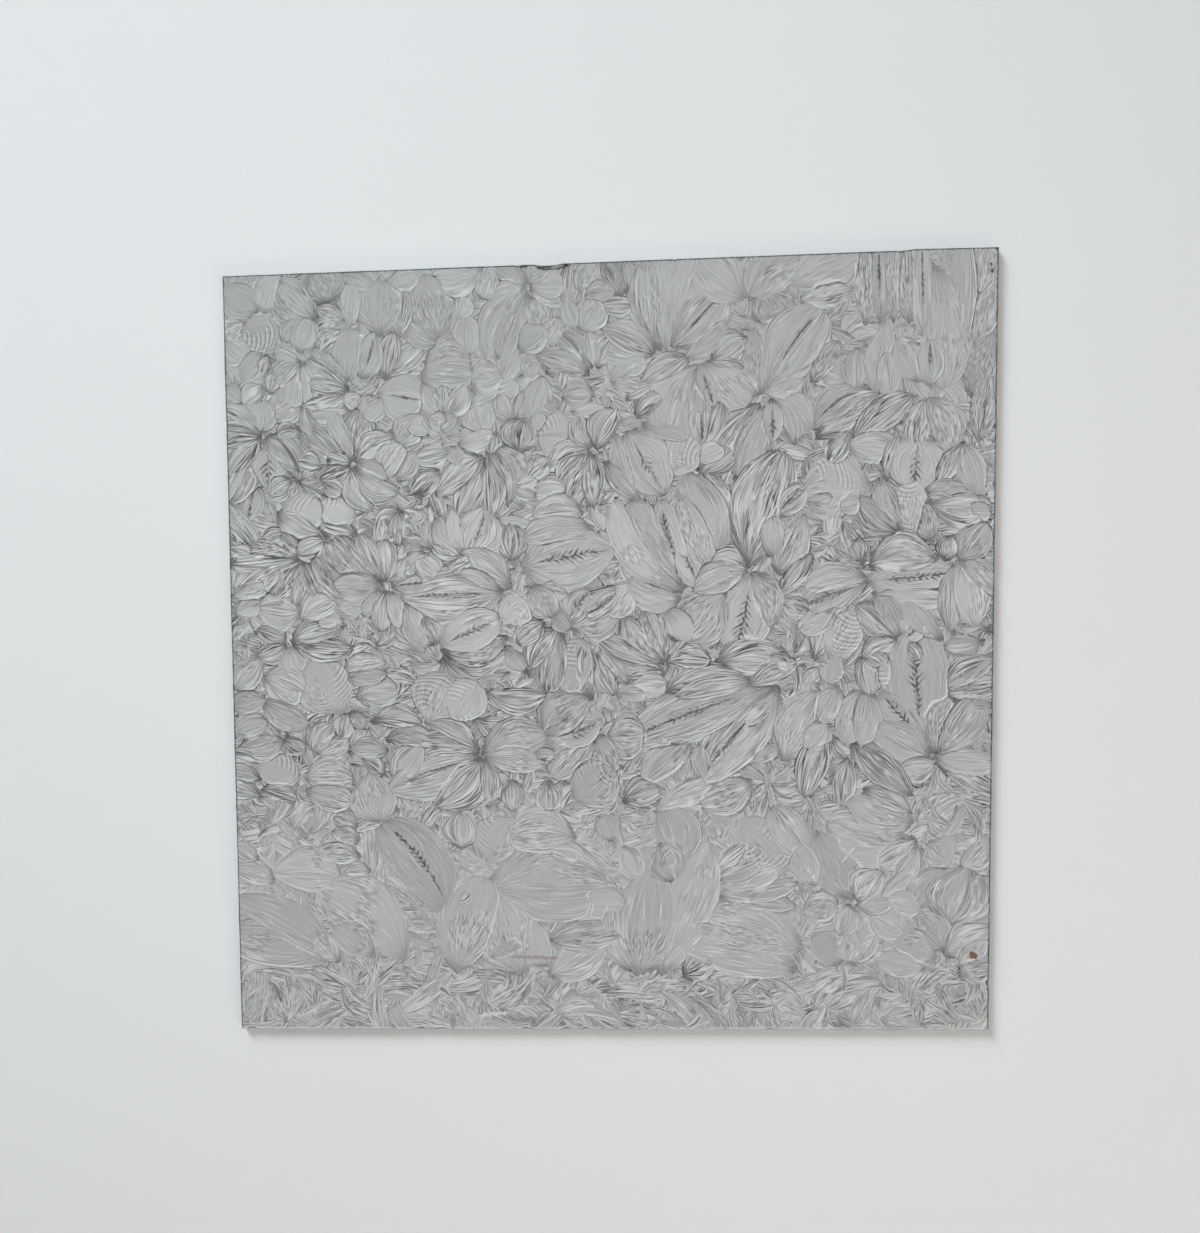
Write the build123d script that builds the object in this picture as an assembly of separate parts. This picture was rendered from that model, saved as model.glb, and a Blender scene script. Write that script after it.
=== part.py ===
"""A pane of glue chip glass, cut by hand, lying on its smooth back.

Sizes are in millimetres. The chipped side faces up (+Z), the pane's top edge
is towards +Y and its right edge towards +X. The origin is under the middle
of the pane, on the surface that it lies on.
"""

import os
from math import sqrt

from build123d import *

# The sheet, at its widest and tallest, and the float glass it was chipped from
pane_width = 302.0
pane_height = 305.0
thickness = 3.0
arris = 0.25  # sharp corner rubbed off both long edges of every cut

# How far the cut is out of square
bottom_shortfall = 4.0  # the bottom edge ends this far inside the top right corner
left_fall = 4.4  # the top edge is this much lower at its left end
step_from_right = 32.0  # where the crack left the score line on the top edge
step_rise = 0.4
step_run = 3.0

# The large shell-shaped nick in the top edge
nick_from_left = 128.5
nick_length = 11.0
nick_bite = 2.0  # into the chipped face, measured from the edge
nick_depth = 2.6  # below the chipped face, so the arris of the back runs on under it

# Small flakes off the chipped side's arris: place along the edge, length, bite, depth
top_flakes = [
    (116.5, 2.4, 0.6, 0.7),
    (178.0, 1.8, 0.4, 0.6),
    (264.5, 2.6, 0.5, 0.8),
]
bottom_flakes = [
    (4.5, 4.0, 0.9, 1.1),
    (73.0, 5.0, 0.8, 0.9),
    (81.5, 3.6, 0.6, 0.7),
    (115.0, 4.0, 0.8, 1.0),
    (131.5, 4.4, 0.7, 0.8),
    (139.0, 3.2, 0.9, 1.0),
    (212.0, 2.6, 0.5, 0.6),
]
right_flakes = [
    (16.5, 2.0, 0.6, 0.7),
    (19.0, 2.6, 1.0, 1.2),
    (247.0, 1.8, 0.5, 0.6),
]
left_flakes = [
    (58.0, 2.2, 0.4, 0.6),
    (206.0, 1.8, 0.4, 0.5),
]

left_x = -pane_width / 2
right_x = pane_width / 2
bottom_y = -pane_height / 2
top_y = pane_height / 2

bottom_left = Vector(left_x, bottom_y)
bottom_right = Vector(right_x - bottom_shortfall, bottom_y)
top_right = Vector(right_x, top_y)
step_head = Vector(right_x - step_from_right, top_y)
step_foot = Vector(right_x - step_from_right - step_run, top_y - step_rise)
top_left = Vector(left_x, top_y - left_fall)


def cut_sheet():
    """The plain sheet inside its six cut lines, with its arrises rubbed off."""
    corners = [bottom_left, bottom_right, top_right, step_head, step_foot, top_left]
    outline = Polyline(*corners, close=True)
    sheet = extrude(make_face(outline), amount=thickness)
    rims = sheet.faces().filter_by(Axis.Z).edges()
    return chamfer(rims, arris)


def scoop(start, end, along, length, bite, depth):
    """The ball whose surface is one shell-shaped break in the edge from start to end.

    On the chipped face it is length long and bite deep, and it runs out where
    it is depth below that face. The pane is on the left of the line from start
    to end.
    """
    run = (end - start).normalized()
    outward = Vector(run.Y, -run.X)
    face_radius = (length * length / 4 + bite * bite) / (2 * bite)
    stand_off = face_radius - bite
    lift = (face_radius**2 - stand_off**2 - depth**2) / (2 * depth)
    centre = start + run * along + outward * stand_off
    ball_radius = sqrt(face_radius**2 + lift**2)
    return Pos(centre.X, centre.Y, thickness + lift) * Sphere(ball_radius)


def edge_breaks():
    """The nick and every small flake, each measured along its edge from a named corner."""
    top_run = (top_left - step_foot).length
    breaks = [scoop(step_foot, top_left, top_run - nick_from_left, nick_length, nick_bite, nick_depth)]
    for from_left, length, bite, depth in top_flakes:
        breaks.append(scoop(step_foot, top_left, top_run - from_left, length, bite, depth))
    for from_left, length, bite, depth in bottom_flakes:
        breaks.append(scoop(bottom_left, bottom_right, from_left, length, bite, depth))
    for from_bottom, length, bite, depth in right_flakes:
        breaks.append(scoop(bottom_right, top_right, from_bottom, length, bite, depth))
    for from_top, length, bite, depth in left_flakes:
        breaks.append(scoop(top_left, bottom_left, from_top, length, bite, depth))
    return breaks


glass_pane = cut_sheet()
for broken_out in edge_breaks():
    glass_pane -= broken_out

os.makedirs("parts", exist_ok=True)
export_step(glass_pane, "parts/glass_pane.step")
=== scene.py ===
# %% [markdown]
# # A pane of glue chip glass
#
# Hot animal glue is brushed on a sheet of sandblasted float glass. As it dries it shrinks, curls and
# tears flakes out of the surface. Each flake leaves a shell-shaped scallop, and the scallops grow out of
# common centres like petals, with fine ribs along them and feathery crushed lines between them.
#
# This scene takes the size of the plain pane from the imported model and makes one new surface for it:
# a closed sheet whose upper face carries the scallops. The sheet lies flat with that face up.

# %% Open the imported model
import math

import bpy
import numpy as np
from mathutils import Matrix, Vector


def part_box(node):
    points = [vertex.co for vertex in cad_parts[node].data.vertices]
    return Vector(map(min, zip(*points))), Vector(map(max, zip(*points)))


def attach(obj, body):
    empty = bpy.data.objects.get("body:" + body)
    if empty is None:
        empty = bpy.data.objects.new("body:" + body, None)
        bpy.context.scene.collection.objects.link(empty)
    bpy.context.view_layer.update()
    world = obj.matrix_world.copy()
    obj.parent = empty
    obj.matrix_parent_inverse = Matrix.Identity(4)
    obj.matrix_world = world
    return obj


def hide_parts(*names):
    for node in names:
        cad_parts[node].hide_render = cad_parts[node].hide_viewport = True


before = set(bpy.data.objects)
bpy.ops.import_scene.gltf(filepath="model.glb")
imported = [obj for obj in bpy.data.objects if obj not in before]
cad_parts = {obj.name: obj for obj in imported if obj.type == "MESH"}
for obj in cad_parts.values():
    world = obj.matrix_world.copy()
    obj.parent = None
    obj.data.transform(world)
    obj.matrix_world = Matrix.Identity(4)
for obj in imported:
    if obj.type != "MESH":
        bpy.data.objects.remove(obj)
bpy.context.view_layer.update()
MM = 0.001
rng = np.random.default_rng(1889)

# %% [markdown]
# ## The cut outline
#
# The pane was scored and snapped by hand, so it is a little out of square: the top edge falls towards the
# left and has a small step where the crack left the score line, and the right edge leans in towards the
# bottom. These few sizes are the ones that the solid has, in millimetres, and the rest comes from its box.

# %% Outline of the sheet
pane_low, pane_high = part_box("glass_pane")
LEFT, BOTTOM, BACK = (c / MM for c in pane_low)
RIGHT, TOP, FACE = (c / MM for c in pane_high)
BOTTOM_SHORTFALL = 4.0
LEFT_FALL = 4.4
STEP_FROM_RIGHT = 32.0
STEP_RISE = 0.4
STEP_RUN = 3.0


def right_edge(y):
    """Where the right edge is at height y: a straight line from the short bottom corner to the top one."""
    return RIGHT - BOTTOM_SHORTFALL * (TOP - y) / (TOP - BOTTOM)


def top_edge(x):
    """Where the top edge is at x: three straight runs, the fall to the left, the step and the level end."""
    corners_x = [LEFT, RIGHT - STEP_FROM_RIGHT - STEP_RUN, RIGHT - STEP_FROM_RIGHT, RIGHT]
    corners_y = [TOP - LEFT_FALL, TOP - STEP_RISE, TOP, TOP]
    return np.interp(x, corners_x, corners_y)


print("pane in mm:", RIGHT - LEFT, "by", TOP - BOTTOM, "by", FACE - BACK)

# %% [markdown]
# ## The camera, from the pane's four corners
#
# A flat rectangle seen in perspective fixes the camera. The four corners of the pane, in the pixels of the
# 1200 by 1233 frame, give the map from the pane's face to the picture, and with the lens known the map
# gives where the camera stands. The same map, turned round, carries a place in the picture to a place on
# the pane, which is how the big scallops are laid out further down.

# %% Camera and picture map
FRAME_SIZE = np.array([1200.0, 1233.0])
CORNER_PIXELS = np.array([[222.5, 276.1], [999.0, 246.5], [988.2, 1030.1], [241.6, 1029.3]])
CORNER_PLACES = np.array([
    [LEFT, TOP - LEFT_FALL],
    [RIGHT, TOP],
    [RIGHT - BOTTOM_SHORTFALL, BOTTOM],
    [LEFT, BOTTOM],
])
FOCAL_PIXELS = 1200.0
SENSOR_MM = 36.0


def plane_map(from_points, to_points):
    """The 3 by 3 map that carries four points to four others in perspective: eight linear equations."""
    rows = []
    for (x, y), (p, q) in zip(from_points, to_points):
        rows.append([x, y, 1, 0, 0, 0, -p * x, -p * y])
        rows.append([0, 0, 0, x, y, 1, -q * x, -q * y])
    solved = np.linalg.solve(np.array(rows), to_points.ravel())
    return np.append(solved, 1.0).reshape(3, 3)


def on_pane(pixels):
    """Millimetre places on the pane's face for an array of picture pixels."""
    flat = np.c_[pixels, np.ones(len(pixels))] @ plane_map(CORNER_PIXELS, CORNER_PLACES).T
    return flat[:, :2] / flat[:, 2:]


def camera_from_corners():
    """Turns the face-to-picture map into a camera pose: its first two columns are the face's axes."""
    lens = np.array([
        [FOCAL_PIXELS, 0, -FRAME_SIZE[0] / 2],
        [0, -FOCAL_PIXELS, -FRAME_SIZE[1] / 2],
        [0, 0, -1],
    ])
    columns = np.linalg.inv(lens) @ plane_map(CORNER_PLACES, CORNER_PIXELS)
    columns *= -np.sign(columns[2, 2]) * 2 / (np.linalg.norm(columns[:, 0]) + np.linalg.norm(columns[:, 1]))
    axes = np.c_[columns[:, 0], columns[:, 1], np.cross(columns[:, 0], columns[:, 1])]
    left_turn, _, right_turn = np.linalg.svd(axes)
    turn = left_turn @ right_turn
    shift = (columns[:, 2] - turn @ [0, 0, FACE]) * MM
    return Matrix.Translation(Vector(-turn.T @ shift)) @ Matrix(turn.T.tolist()).to_4x4()


camera = bpy.data.objects.new("camera", bpy.data.cameras.new("camera"))
bpy.context.collection.objects.link(camera)
camera.matrix_world = camera_from_corners()
camera.data.sensor_width = SENSOR_MM
camera.data.lens = SENSOR_MM * FOCAL_PIXELS / FRAME_SIZE.max()
camera.data.clip_start = 0.01
bpy.context.scene.camera = camera
print("camera in mm:", [round(c / MM, 1) for c in camera.matrix_world.translation])

# %% [markdown]
# ## Petals
#
# Every scallop is a petal: a leaf-shaped bowl that starts at a centre and runs out to a tip. In its own
# coordinates u goes from 0 at the base to 1 at the tip, and v goes from -1 to 1 across, with the midrib
# bowed sideways. All petals share one set of arrays, so one call works out any petal at any point.

# %% Petal store
PETAL_FIELDS = ("x", "y", "run_x", "run_y", "length", "width", "bow", "depth", "skew", "seed",
                "tip_power", "ribs", "rings", "fern", "crumple")
BASE_POWER = 0.75
TIP_POWERS = (0.45, 0.95)
petals = {field: [] for field in PETAL_FIELDS}


def add_petal(base, tip, width, bow, depth, skew, looks):
    """Stores one petal. base and tip are in millimetres, and bow is the midrib's bulge to the left."""
    run = np.subtract(tip, base)
    length = math.hypot(*run)
    values = (*base, *(run / length), length, width, bow, depth, skew, rng.random(),
              rng.uniform(*TIP_POWERS), *looks)
    for field, value in zip(PETAL_FIELDS, values):
        petals[field].append(value)


print("values of one petal:", len(PETAL_FIELDS))

# %% Petal coordinates and height
RIM_POWER = 5.0
INSIDE = (0.001, 0.999)         # u is held inside this range, because its powers fail at the ends
BASE_FADE = (2.2, 0.8)          # factor and power of how a bowl gets deeper from its base, and from its tip
TIP_FADE = (2.6, 0.6)
WIDEST_V = 4.0
ABOVE_FACE = 1.0


def widest_at(p):
    """The share of its length at which petal p is widest: base power over base power plus tip power."""
    return BASE_POWER / (BASE_POWER + P["tip_power"][p])


def petal_coordinates(p, x, y):
    """u, v and the half width in mm of petal p at x, y.

    u is the share of the length along the straight line from base to tip. The midrib leaves that line by
    bow times 4u(1-u), and v is the distance from the midrib over the half width, which is
    u to the base power times (1-u) to the tip power, scaled to reach the full width.
    """
    along = (x - P["x"][p]) * P["run_x"][p] + (y - P["y"][p]) * P["run_y"][p]
    across = (y - P["y"][p]) * P["run_x"][p] - (x - P["x"][p]) * P["run_y"][p]
    u = along / P["length"][p]
    held = np.clip(u, *INSIDE)
    widest, tip_power = widest_at(p), P["tip_power"][p]
    peak = widest**BASE_POWER * (1 - widest) ** tip_power
    half = P["width"][p] / 2 * held**BASE_POWER * (1 - held) ** tip_power / peak
    v = (across - P["bow"][p] * 4 * held * (1 - held)) / half
    return u, v, half


def fade(share, factor, power):
    """Rises from 0 to 1 as share leaves 0: factor times share to the power, held at 1."""
    return np.minimum(1.0, factor * share**power)


def petal_height(p, x, y):
    """Height of petal p's bowl: minus depth times (1 - |v| to the rim power), shallower at both ends.

    Outside the petal the height is above the face, so that the lowest of all petals is the surface.
    """
    u, v, _ = petal_coordinates(p, x, y)
    held = np.clip(u, *INSIDE)
    ends = fade(held, *BASE_FADE) * fade(1 - held, *TIP_FADE)
    side = 1 + P["skew"][p] * np.clip(v, -1, 1)
    bowl = -P["depth"][p] * ends * side * (1 - np.minimum(np.abs(v), WIDEST_V) ** RIM_POWER)
    return np.where((u <= 0) | (u >= 1), ABOVE_FACE, bowl)


def distance_outside(p, x, y):
    """How far x, y is outside petal p in mm: past its side, before its base or beyond its tip."""
    u, v, half = petal_coordinates(p, x, y)
    beyond = np.maximum(-u, u - 1) * P["length"][p]
    return np.maximum(np.maximum((np.abs(v) - 1) * half, beyond), 0)


print("a bowl is at half its depth at v =", round(0.5 ** (1 / RIM_POWER), 2))

# %% [markdown]
# ## Where the big petals lie
#
# The chips of this one pane are laid out flower by flower, from a ruled enlargement of the picture.
# Each row is one petal: the pixel where it starts, the pixel of its tip, its width, how far its
# midrib bulges to the left of the way it runs, all in pixels, and a letter for its finish.
#
# - r has fine ribs from base to tip, and s is a smooth clear facet.
# - f has a faint torn fern on its midrib, and F a strong one.
# - c has arcs like the rings of a shell, and k is crumpled.

# %% Petals of the upper right
TOP_RIGHT_PETALS = [
    # the flower low in the sky-coloured part, its petals reaching up
    (660, 352, 646, 270, 26, 7, "r"), (666, 350, 660, 256, 26, 2, "s"), (670, 346, 694, 262, 28, 3, "s"),
    (672, 348, 717, 298, 42, 0, "f"), (682, 359, 722, 322, 16, -6, "s"), (655, 354, 606, 330, 28, -4, "r"),
    (690, 356, 645, 381, 20, -3, "r"), (650, 356, 606, 350, 20, 3, "s"),
    # the flower below it, hanging down
    (697, 364, 667, 426, 34, -11, "s"), (698, 364, 691, 440, 28, -3, "s"), (700, 364, 713, 403, 17, 0, "F"),
    (702, 363, 744, 400, 36, 7, "s"), (703, 398, 702, 441, 24, 0, "f"), (712, 360, 744, 340, 32, 4, "r"),
    (722, 398, 706, 441, 16, 3, "r"), (706, 362, 742, 372, 14, 3, "r"),
    # the flower to its right
    (772, 400, 773, 438, 19, 0, "F"),
    (770, 398, 793, 439, 26, 5, "r"), (772, 396, 809, 426, 22, 6, "s"), (762, 394, 755, 334, 20, 6, "s"),
    (766, 393, 816, 317, 46, 5, "f"), (764, 393, 798, 379, 15, -4, "s"), (760, 395, 740, 372, 14, 2, "r"),
    # small leaves and fans round them
    (610, 380, 643, 361, 20, 3, "s"), (612, 382, 640, 385, 15, 0, "s"), (622, 298, 605, 262, 18, -2, "r"),
    (640, 304, 603, 305, 16, 2, "r"), (630, 298, 624, 264, 16, -4, "r"), (746, 298, 702, 262, 42, 4, "s"),
    (746, 298, 773, 257, 28, -2, "s"), (748, 300, 800, 262, 24, 3, "s"), (640, 424, 687, 437, 17, 3, "s"),
    (636, 418, 660, 396, 18, 4, "r"), (626, 400, 648, 386, 14, 2, "r"),
    (872, 254, 800, 282, 46, -9, "s"), (800, 300, 848, 290, 22, 2, "k"), (812, 384, 836, 345, 18, 3, "k"),
    # tall veined strips by the right edge
    (866, 326, 864, 250, 16, 0, "k"), (880, 322, 879, 246, 15, 0, "f"), (893, 322, 893, 246, 14, 0, "k"),
    (909, 324, 908, 245, 18, 0, "k"), (924, 340, 922, 245, 18, 0, "f"), (933, 262, 944, 374, 38, 7, "s"),
    (945, 386, 961, 244, 22, -8, "s"), (974, 305, 986, 246, 28, 0, "k"), (973, 350, 990, 292, 24, 0, "k"),
    (970, 398, 990, 338, 24, 0, "k"), (978, 442, 990, 382, 22, 0, "k"), (930, 386, 930, 342, 24, 0, "f"),
    (928, 396, 949, 447, 28, 8, "s"), (926, 398, 916, 444, 22, -3, "k"), (888, 402, 890, 350, 20, 0, "s"),
    (920, 382, 899, 343, 20, 4, "s"), (875, 397, 886, 334, 20, 3, "s"), (812, 430, 858, 393, 26, 7, "f"),
    (815, 440, 873, 400, 26, 5, "r"), (850, 443, 906, 400, 26, 4, "r"), (856, 392, 856, 352, 18, 2, "r"),
]
print("petals of the upper right:", len(TOP_RIGHT_PETALS))

# %% Petals of the upper left and middle
TOP_LEFT_PETALS = [
    # along the top edge
    (258, 312, 226, 288, 28, 3, "s"), (262, 313, 274, 276, 26, 0, "s"), (318, 320, 281, 284, 32, 6, "r"),
    (330, 304, 316, 270, 42, 4, "r"), (346, 319, 318, 309, 14, 0, "k"), (352, 326, 352, 284, 17, 2, "s"),
    (382, 337, 380, 286, 40, 0, "s"), (398, 339, 403, 291, 15, -2, "r"), (378, 291, 345, 277, 16, 0, "s"),
    (384, 291, 415, 276, 18, 0, "s"), (246, 322, 226, 334, 18, 0, "k"),
    # small bowls and leaves below them
    (281, 332, 243, 332, 28, 4, "c"), (284, 342, 297, 320, 17, 0, "s"), (300, 352, 307, 321, 24, 0, "s"),
    (316, 354, 339, 333, 22, 0, "k"), (349, 383, 350, 333, 25, 4, "s"), (361, 379, 373, 337, 24, -2, "f"),
    (385, 379, 393, 337, 21, 0, "r"), (384, 381, 420, 347, 22, 3, "r"),
    (262, 350, 246, 381, 26, 3, "s"), (250, 362, 228, 344, 24, 0, "s"), (270, 355, 263, 373, 16, 0, "r"),
    # two fans that open to the left
    (301, 361, 277, 354, 12, 2, "r"), (301, 362, 277, 386, 22, -5, "r"), (302, 363, 288, 407, 24, -3, "s"),
    (303, 363, 307, 402, 14, 3, "s"), (349, 388, 310, 364, 23, 4, "r"), (349, 389, 308, 384, 22, 4, "r"),
    (350, 391, 307, 405, 23, 7, "r"), (352, 408, 307, 420, 24, 6, "r"), (347, 384, 315, 352, 17, 0, "s"),
    # the lens with its fern, and the crest that runs down past it
    (378, 393, 421, 400, 35, 0, "F"), (381, 397, 367, 421, 24, -3, "s"), (363, 398, 345, 402, 14, 0, "s"),
    (244, 404, 226, 388, 18, 2, "r"), (263, 384, 245, 403, 22, 0, "r"), (270, 395, 276, 374, 18, 0, "r"),
    # the flower by the left edge
    (262, 436, 224, 411, 18, -5, "r"), (262, 437, 223, 428, 17, -4, "r"), (262, 438, 225, 447, 17, -3, "r"),
    (262, 438, 231, 472, 24, -4, "r"), (261, 434, 246, 407, 18, -3, "s"), (263, 433, 263, 403, 22, 0, "s"),
    (265, 436, 297, 469, 25, 6, "r"), (301, 402, 274, 415, 22, 2, "s"), (303, 433, 279, 437, 18, -4, "r"),
    # the broad fan
    (350, 463, 307, 432, 24, 4, "r"), (352, 463, 328, 413, 28, 3, "r"), (354, 462, 362, 411, 35, 4, "r"),
    (356, 461, 393, 440, 26, 4, "r"), (331, 443, 308, 411, 20, 3, "r"), (396, 446, 420, 418, 24, 2, "s"),
]

TOP_MIDDLE_PETALS = [
    (484, 269, 437, 279, 26, 6, "s"), (443, 342, 428, 281, 38, 2, "s"), (443, 343, 411, 326, 20, 5, "r"),
    (459, 320, 462, 298, 20, 0, "s"), (468, 357, 466, 320, 24, 0, "s"), (484, 300, 490, 272, 20, 0, "s"),
    # the flower with two long leaves that curve down
    (527, 285, 490, 356, 26, -12, "s"), (528, 292, 503, 354, 24, -6, "s"), (527, 284, 499, 269, 15, 0, "s"),
    (524, 285, 494, 292, 16, 0, "s"), (530, 286, 563, 285, 25, 0, "s"), (528, 284, 541, 263, 20, 0, "s"),
    (529, 296, 540, 322, 20, 2, "k"), (530, 290, 560, 304, 15, 2, "s"),
    # ribs that come down from the top edge
    (566, 320, 573, 261, 22, -3, "r"), (580, 299, 593, 261, 20, 2, "s"), (582, 296, 613, 290, 18, 2, "s"),
    (581, 332, 597, 301, 24, -2, "s"), (519, 351, 546, 330, 24, 3, "s"), (545, 346, 556, 320, 20, 0, "k"),
    (574, 330, 568, 300, 16, 0, "s"),
    # the fan above the seam
    (590, 375, 542, 357, 19, -5, "r"), (590, 371, 560, 337, 23, -6, "r"), (593, 368, 588, 334, 20, -2, "r"),
    (596, 368, 611, 336, 20, 3, "r"), (594, 392, 567, 396, 27, 0, "s"), (571, 412, 603, 410, 13, 0, "s"),
    # lenses and caps
    (424, 363, 467, 361, 34, 5, "s"), (419, 378, 468, 374, 30, 3, "s"), (469, 380, 500, 378, 31, 0, "s"),
    (500, 381, 517, 355, 18, 2, "s"), (528, 425, 542, 381, 19, 3, "s"), (541, 433, 538, 413, 12, 0, "s"),
    # fans and small round chips
    (444, 419, 423, 388, 18, 2, "r"), (444, 419, 444, 386, 17, 0, "r"), (445, 419, 464, 387, 20, -2, "r"),
    (427, 418, 445, 425, 16, 2, "s"), (459, 415, 442, 429, 19, -2, "s"), (486, 435, 478, 408, 25, 2, "s"),
    (488, 398, 474, 404, 12, 0, "s"), (513, 421, 500, 398, 16, 2, "r"), (513, 421, 525, 395, 16, -2, "r"),
    (511, 398, 505, 380, 18, 0, "c"), (519, 453, 521, 423, 31, 0, "r"), (458, 446, 490, 435, 22, 3, "s"),
    (574, 437, 540, 437, 36, 0, "c"), (596, 450, 613, 413, 24, 6, "r"), (590, 449, 580, 419, 20, 4, "r"),
    (404, 420, 426, 432, 18, 2, "s"), (497, 432, 491, 452, 15, 0, "r"),
]
print("petals of the upper left and middle:", len(TOP_LEFT_PETALS) + len(TOP_MIDDLE_PETALS))

# %% Petals of the middle left and the centre
MIDDLE_LEFT_PETALS = [
    # sharp little ribbed fans by the left edge
    (268, 446, 268, 485, 28, 0, "F"), (252, 452, 229, 500, 26, 4, "r"), (322, 468, 299, 462, 18, -4, "r"),
    (292, 480, 271, 495, 16, -3, "r"), (255, 482, 248, 519, 20, 0, "f"), (226, 498, 254, 542, 18, -2, "r"),
    (226, 522, 252, 546, 16, -2, "r"), (290, 530, 261, 545, 22, 3, "r"), (226, 548, 250, 556, 16, 0, "r"),
    # the swirl
    (281, 503, 321, 522, 27, 2, "c"), (277, 512, 317, 533, 24, -6, "r"), (356, 522, 321, 508, 26, -3, "c"),
    (358, 533, 321, 525, 22, 5, "r"), (328, 538, 299, 553, 24, 3, "r"), (345, 498, 324, 484, 18, -3, "r"),
    # the rest of the flower whose broad fan is above
    (352, 466, 323, 479, 24, 5, "r"), (353, 466, 393, 491, 24, -8, "r"), (352, 468, 370, 507, 22, -8, "r"),
    (356, 462, 385, 481, 18, 2, "s"), (381, 478, 399, 447, 26, 3, "s"), (398, 482, 413, 454, 18, 0, "s"),
    (352, 464, 326, 456, 14, 0, "r"),
    # ribs that run left and down from one point
    (300, 559, 242, 592, 26, -4, "r"), (300, 558, 238, 563, 24, 0, "r"), (298, 557, 256, 543, 16, 3, "r"),
    (302, 560, 274, 597, 24, 3, "r"), (303, 560, 296, 602, 22, 0, "r"), (304, 560, 318, 593, 20, -4, "r"),
    (301, 556, 280, 536, 16, 0, "r"),
    # the bright ribbed fan and what hangs from its centre
    (383, 584, 331, 541, 36, 9, "r"), (384, 582, 361, 539, 22, 2, "r"), (386, 582, 384, 544, 22, 0, "r"),
    (388, 583, 402, 548, 20, 0, "s"), (390, 584, 426, 556, 20, 2, "s"), (390, 586, 427, 583, 18, 0, "f"),
    (382, 586, 333, 590, 34, 4, "s"), (384, 590, 365, 613, 18, 2, "s"), (386, 590, 381, 628, 20, 0, "r"),
    (388, 590, 403, 624, 18, 0, "s"), (362, 608, 317, 561, 22, 4, "r"),
    (301, 613, 261, 608, 32, 0, "s"), (231, 597, 267, 585, 16, 0, "s"), (300, 620, 332, 603, 24, 3, "s"),
    (234, 615, 258, 603, 16, 0, "s"), (345, 622, 318, 618, 18, 0, "s"),
]

CENTRE_PETALS = [
    (455, 452, 419, 458, 17, 0, "s"), (451, 445, 458, 465, 13, 0, "s"), (442, 470, 415, 491, 22, -2, "r"),
    # the fan and the arcs outside it
    (484, 456, 441, 493, 26, -4, "r"), (485, 458, 461, 509, 26, 2, "r"), (486, 460, 489, 513, 24, 6, "r"),
    (486, 448, 506, 501, 20, 9, "r"), (490, 444, 521, 484, 20, 7, "r"),
    (509, 486, 537, 478, 15, 0, "s"), (509, 487, 534, 496, 12, 0, "r"), (524, 486, 546, 461, 20, 3, "r"),
    (590, 448, 551, 469, 24, -5, "r"), (588, 452, 561, 481, 20, -3, "r"), (588, 460, 571, 496, 18, -2, "r"),
    (591, 452, 593, 502, 20, 0, "r"),
    # the bright eye-shaped leaf with the shell arcs above it
    (573, 492, 539, 492, 20, -4, "s"), (583, 513, 537, 515, 26, -6, "s"), (594, 529, 531, 537, 24, -7, "s"),
    (521, 567, 607, 551, 50, 2, "F"),
    # the bowl leaf and the long lenses under it
    (465, 556, 483, 511, 43, -4, "f"), (463, 556, 440, 520, 20, 4, "r"), (462, 554, 453, 512, 18, 2, "s"),
    (512, 562, 510, 528, 24, 0, "r"), (462, 557, 435, 545, 15, 0, "r"), (512, 588, 465, 557, 26, -4, "s"),
    (504, 593, 411, 597, 46, 0, "f"), (445, 578, 418, 555, 21, 3, "s"), (443, 576, 472, 559, 14, 0, "r"),
    (504, 590, 457, 576, 18, -2, "s"),
    # petals round the lowest point of the eye
    (404, 598, 425, 642, 27, 2, "s"), (446, 637, 494, 617, 25, 3, "s"), (531, 596, 505, 615, 27, 3, "c"),
    (533, 584, 550, 614, 28, -3, "s"), (568, 625, 591, 593, 26, 4, "f"), (570, 624, 615, 593, 28, -2, "f"),
    (568, 627, 614, 614, 26, -9, "s"), (540, 584, 566, 594, 18, -2, "s"), (553, 612, 568, 628, 14, -2, "s"),
]
print("petals of the middle left and the centre:", len(MIDDLE_LEFT_PETALS) + len(CENTRE_PETALS))

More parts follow.
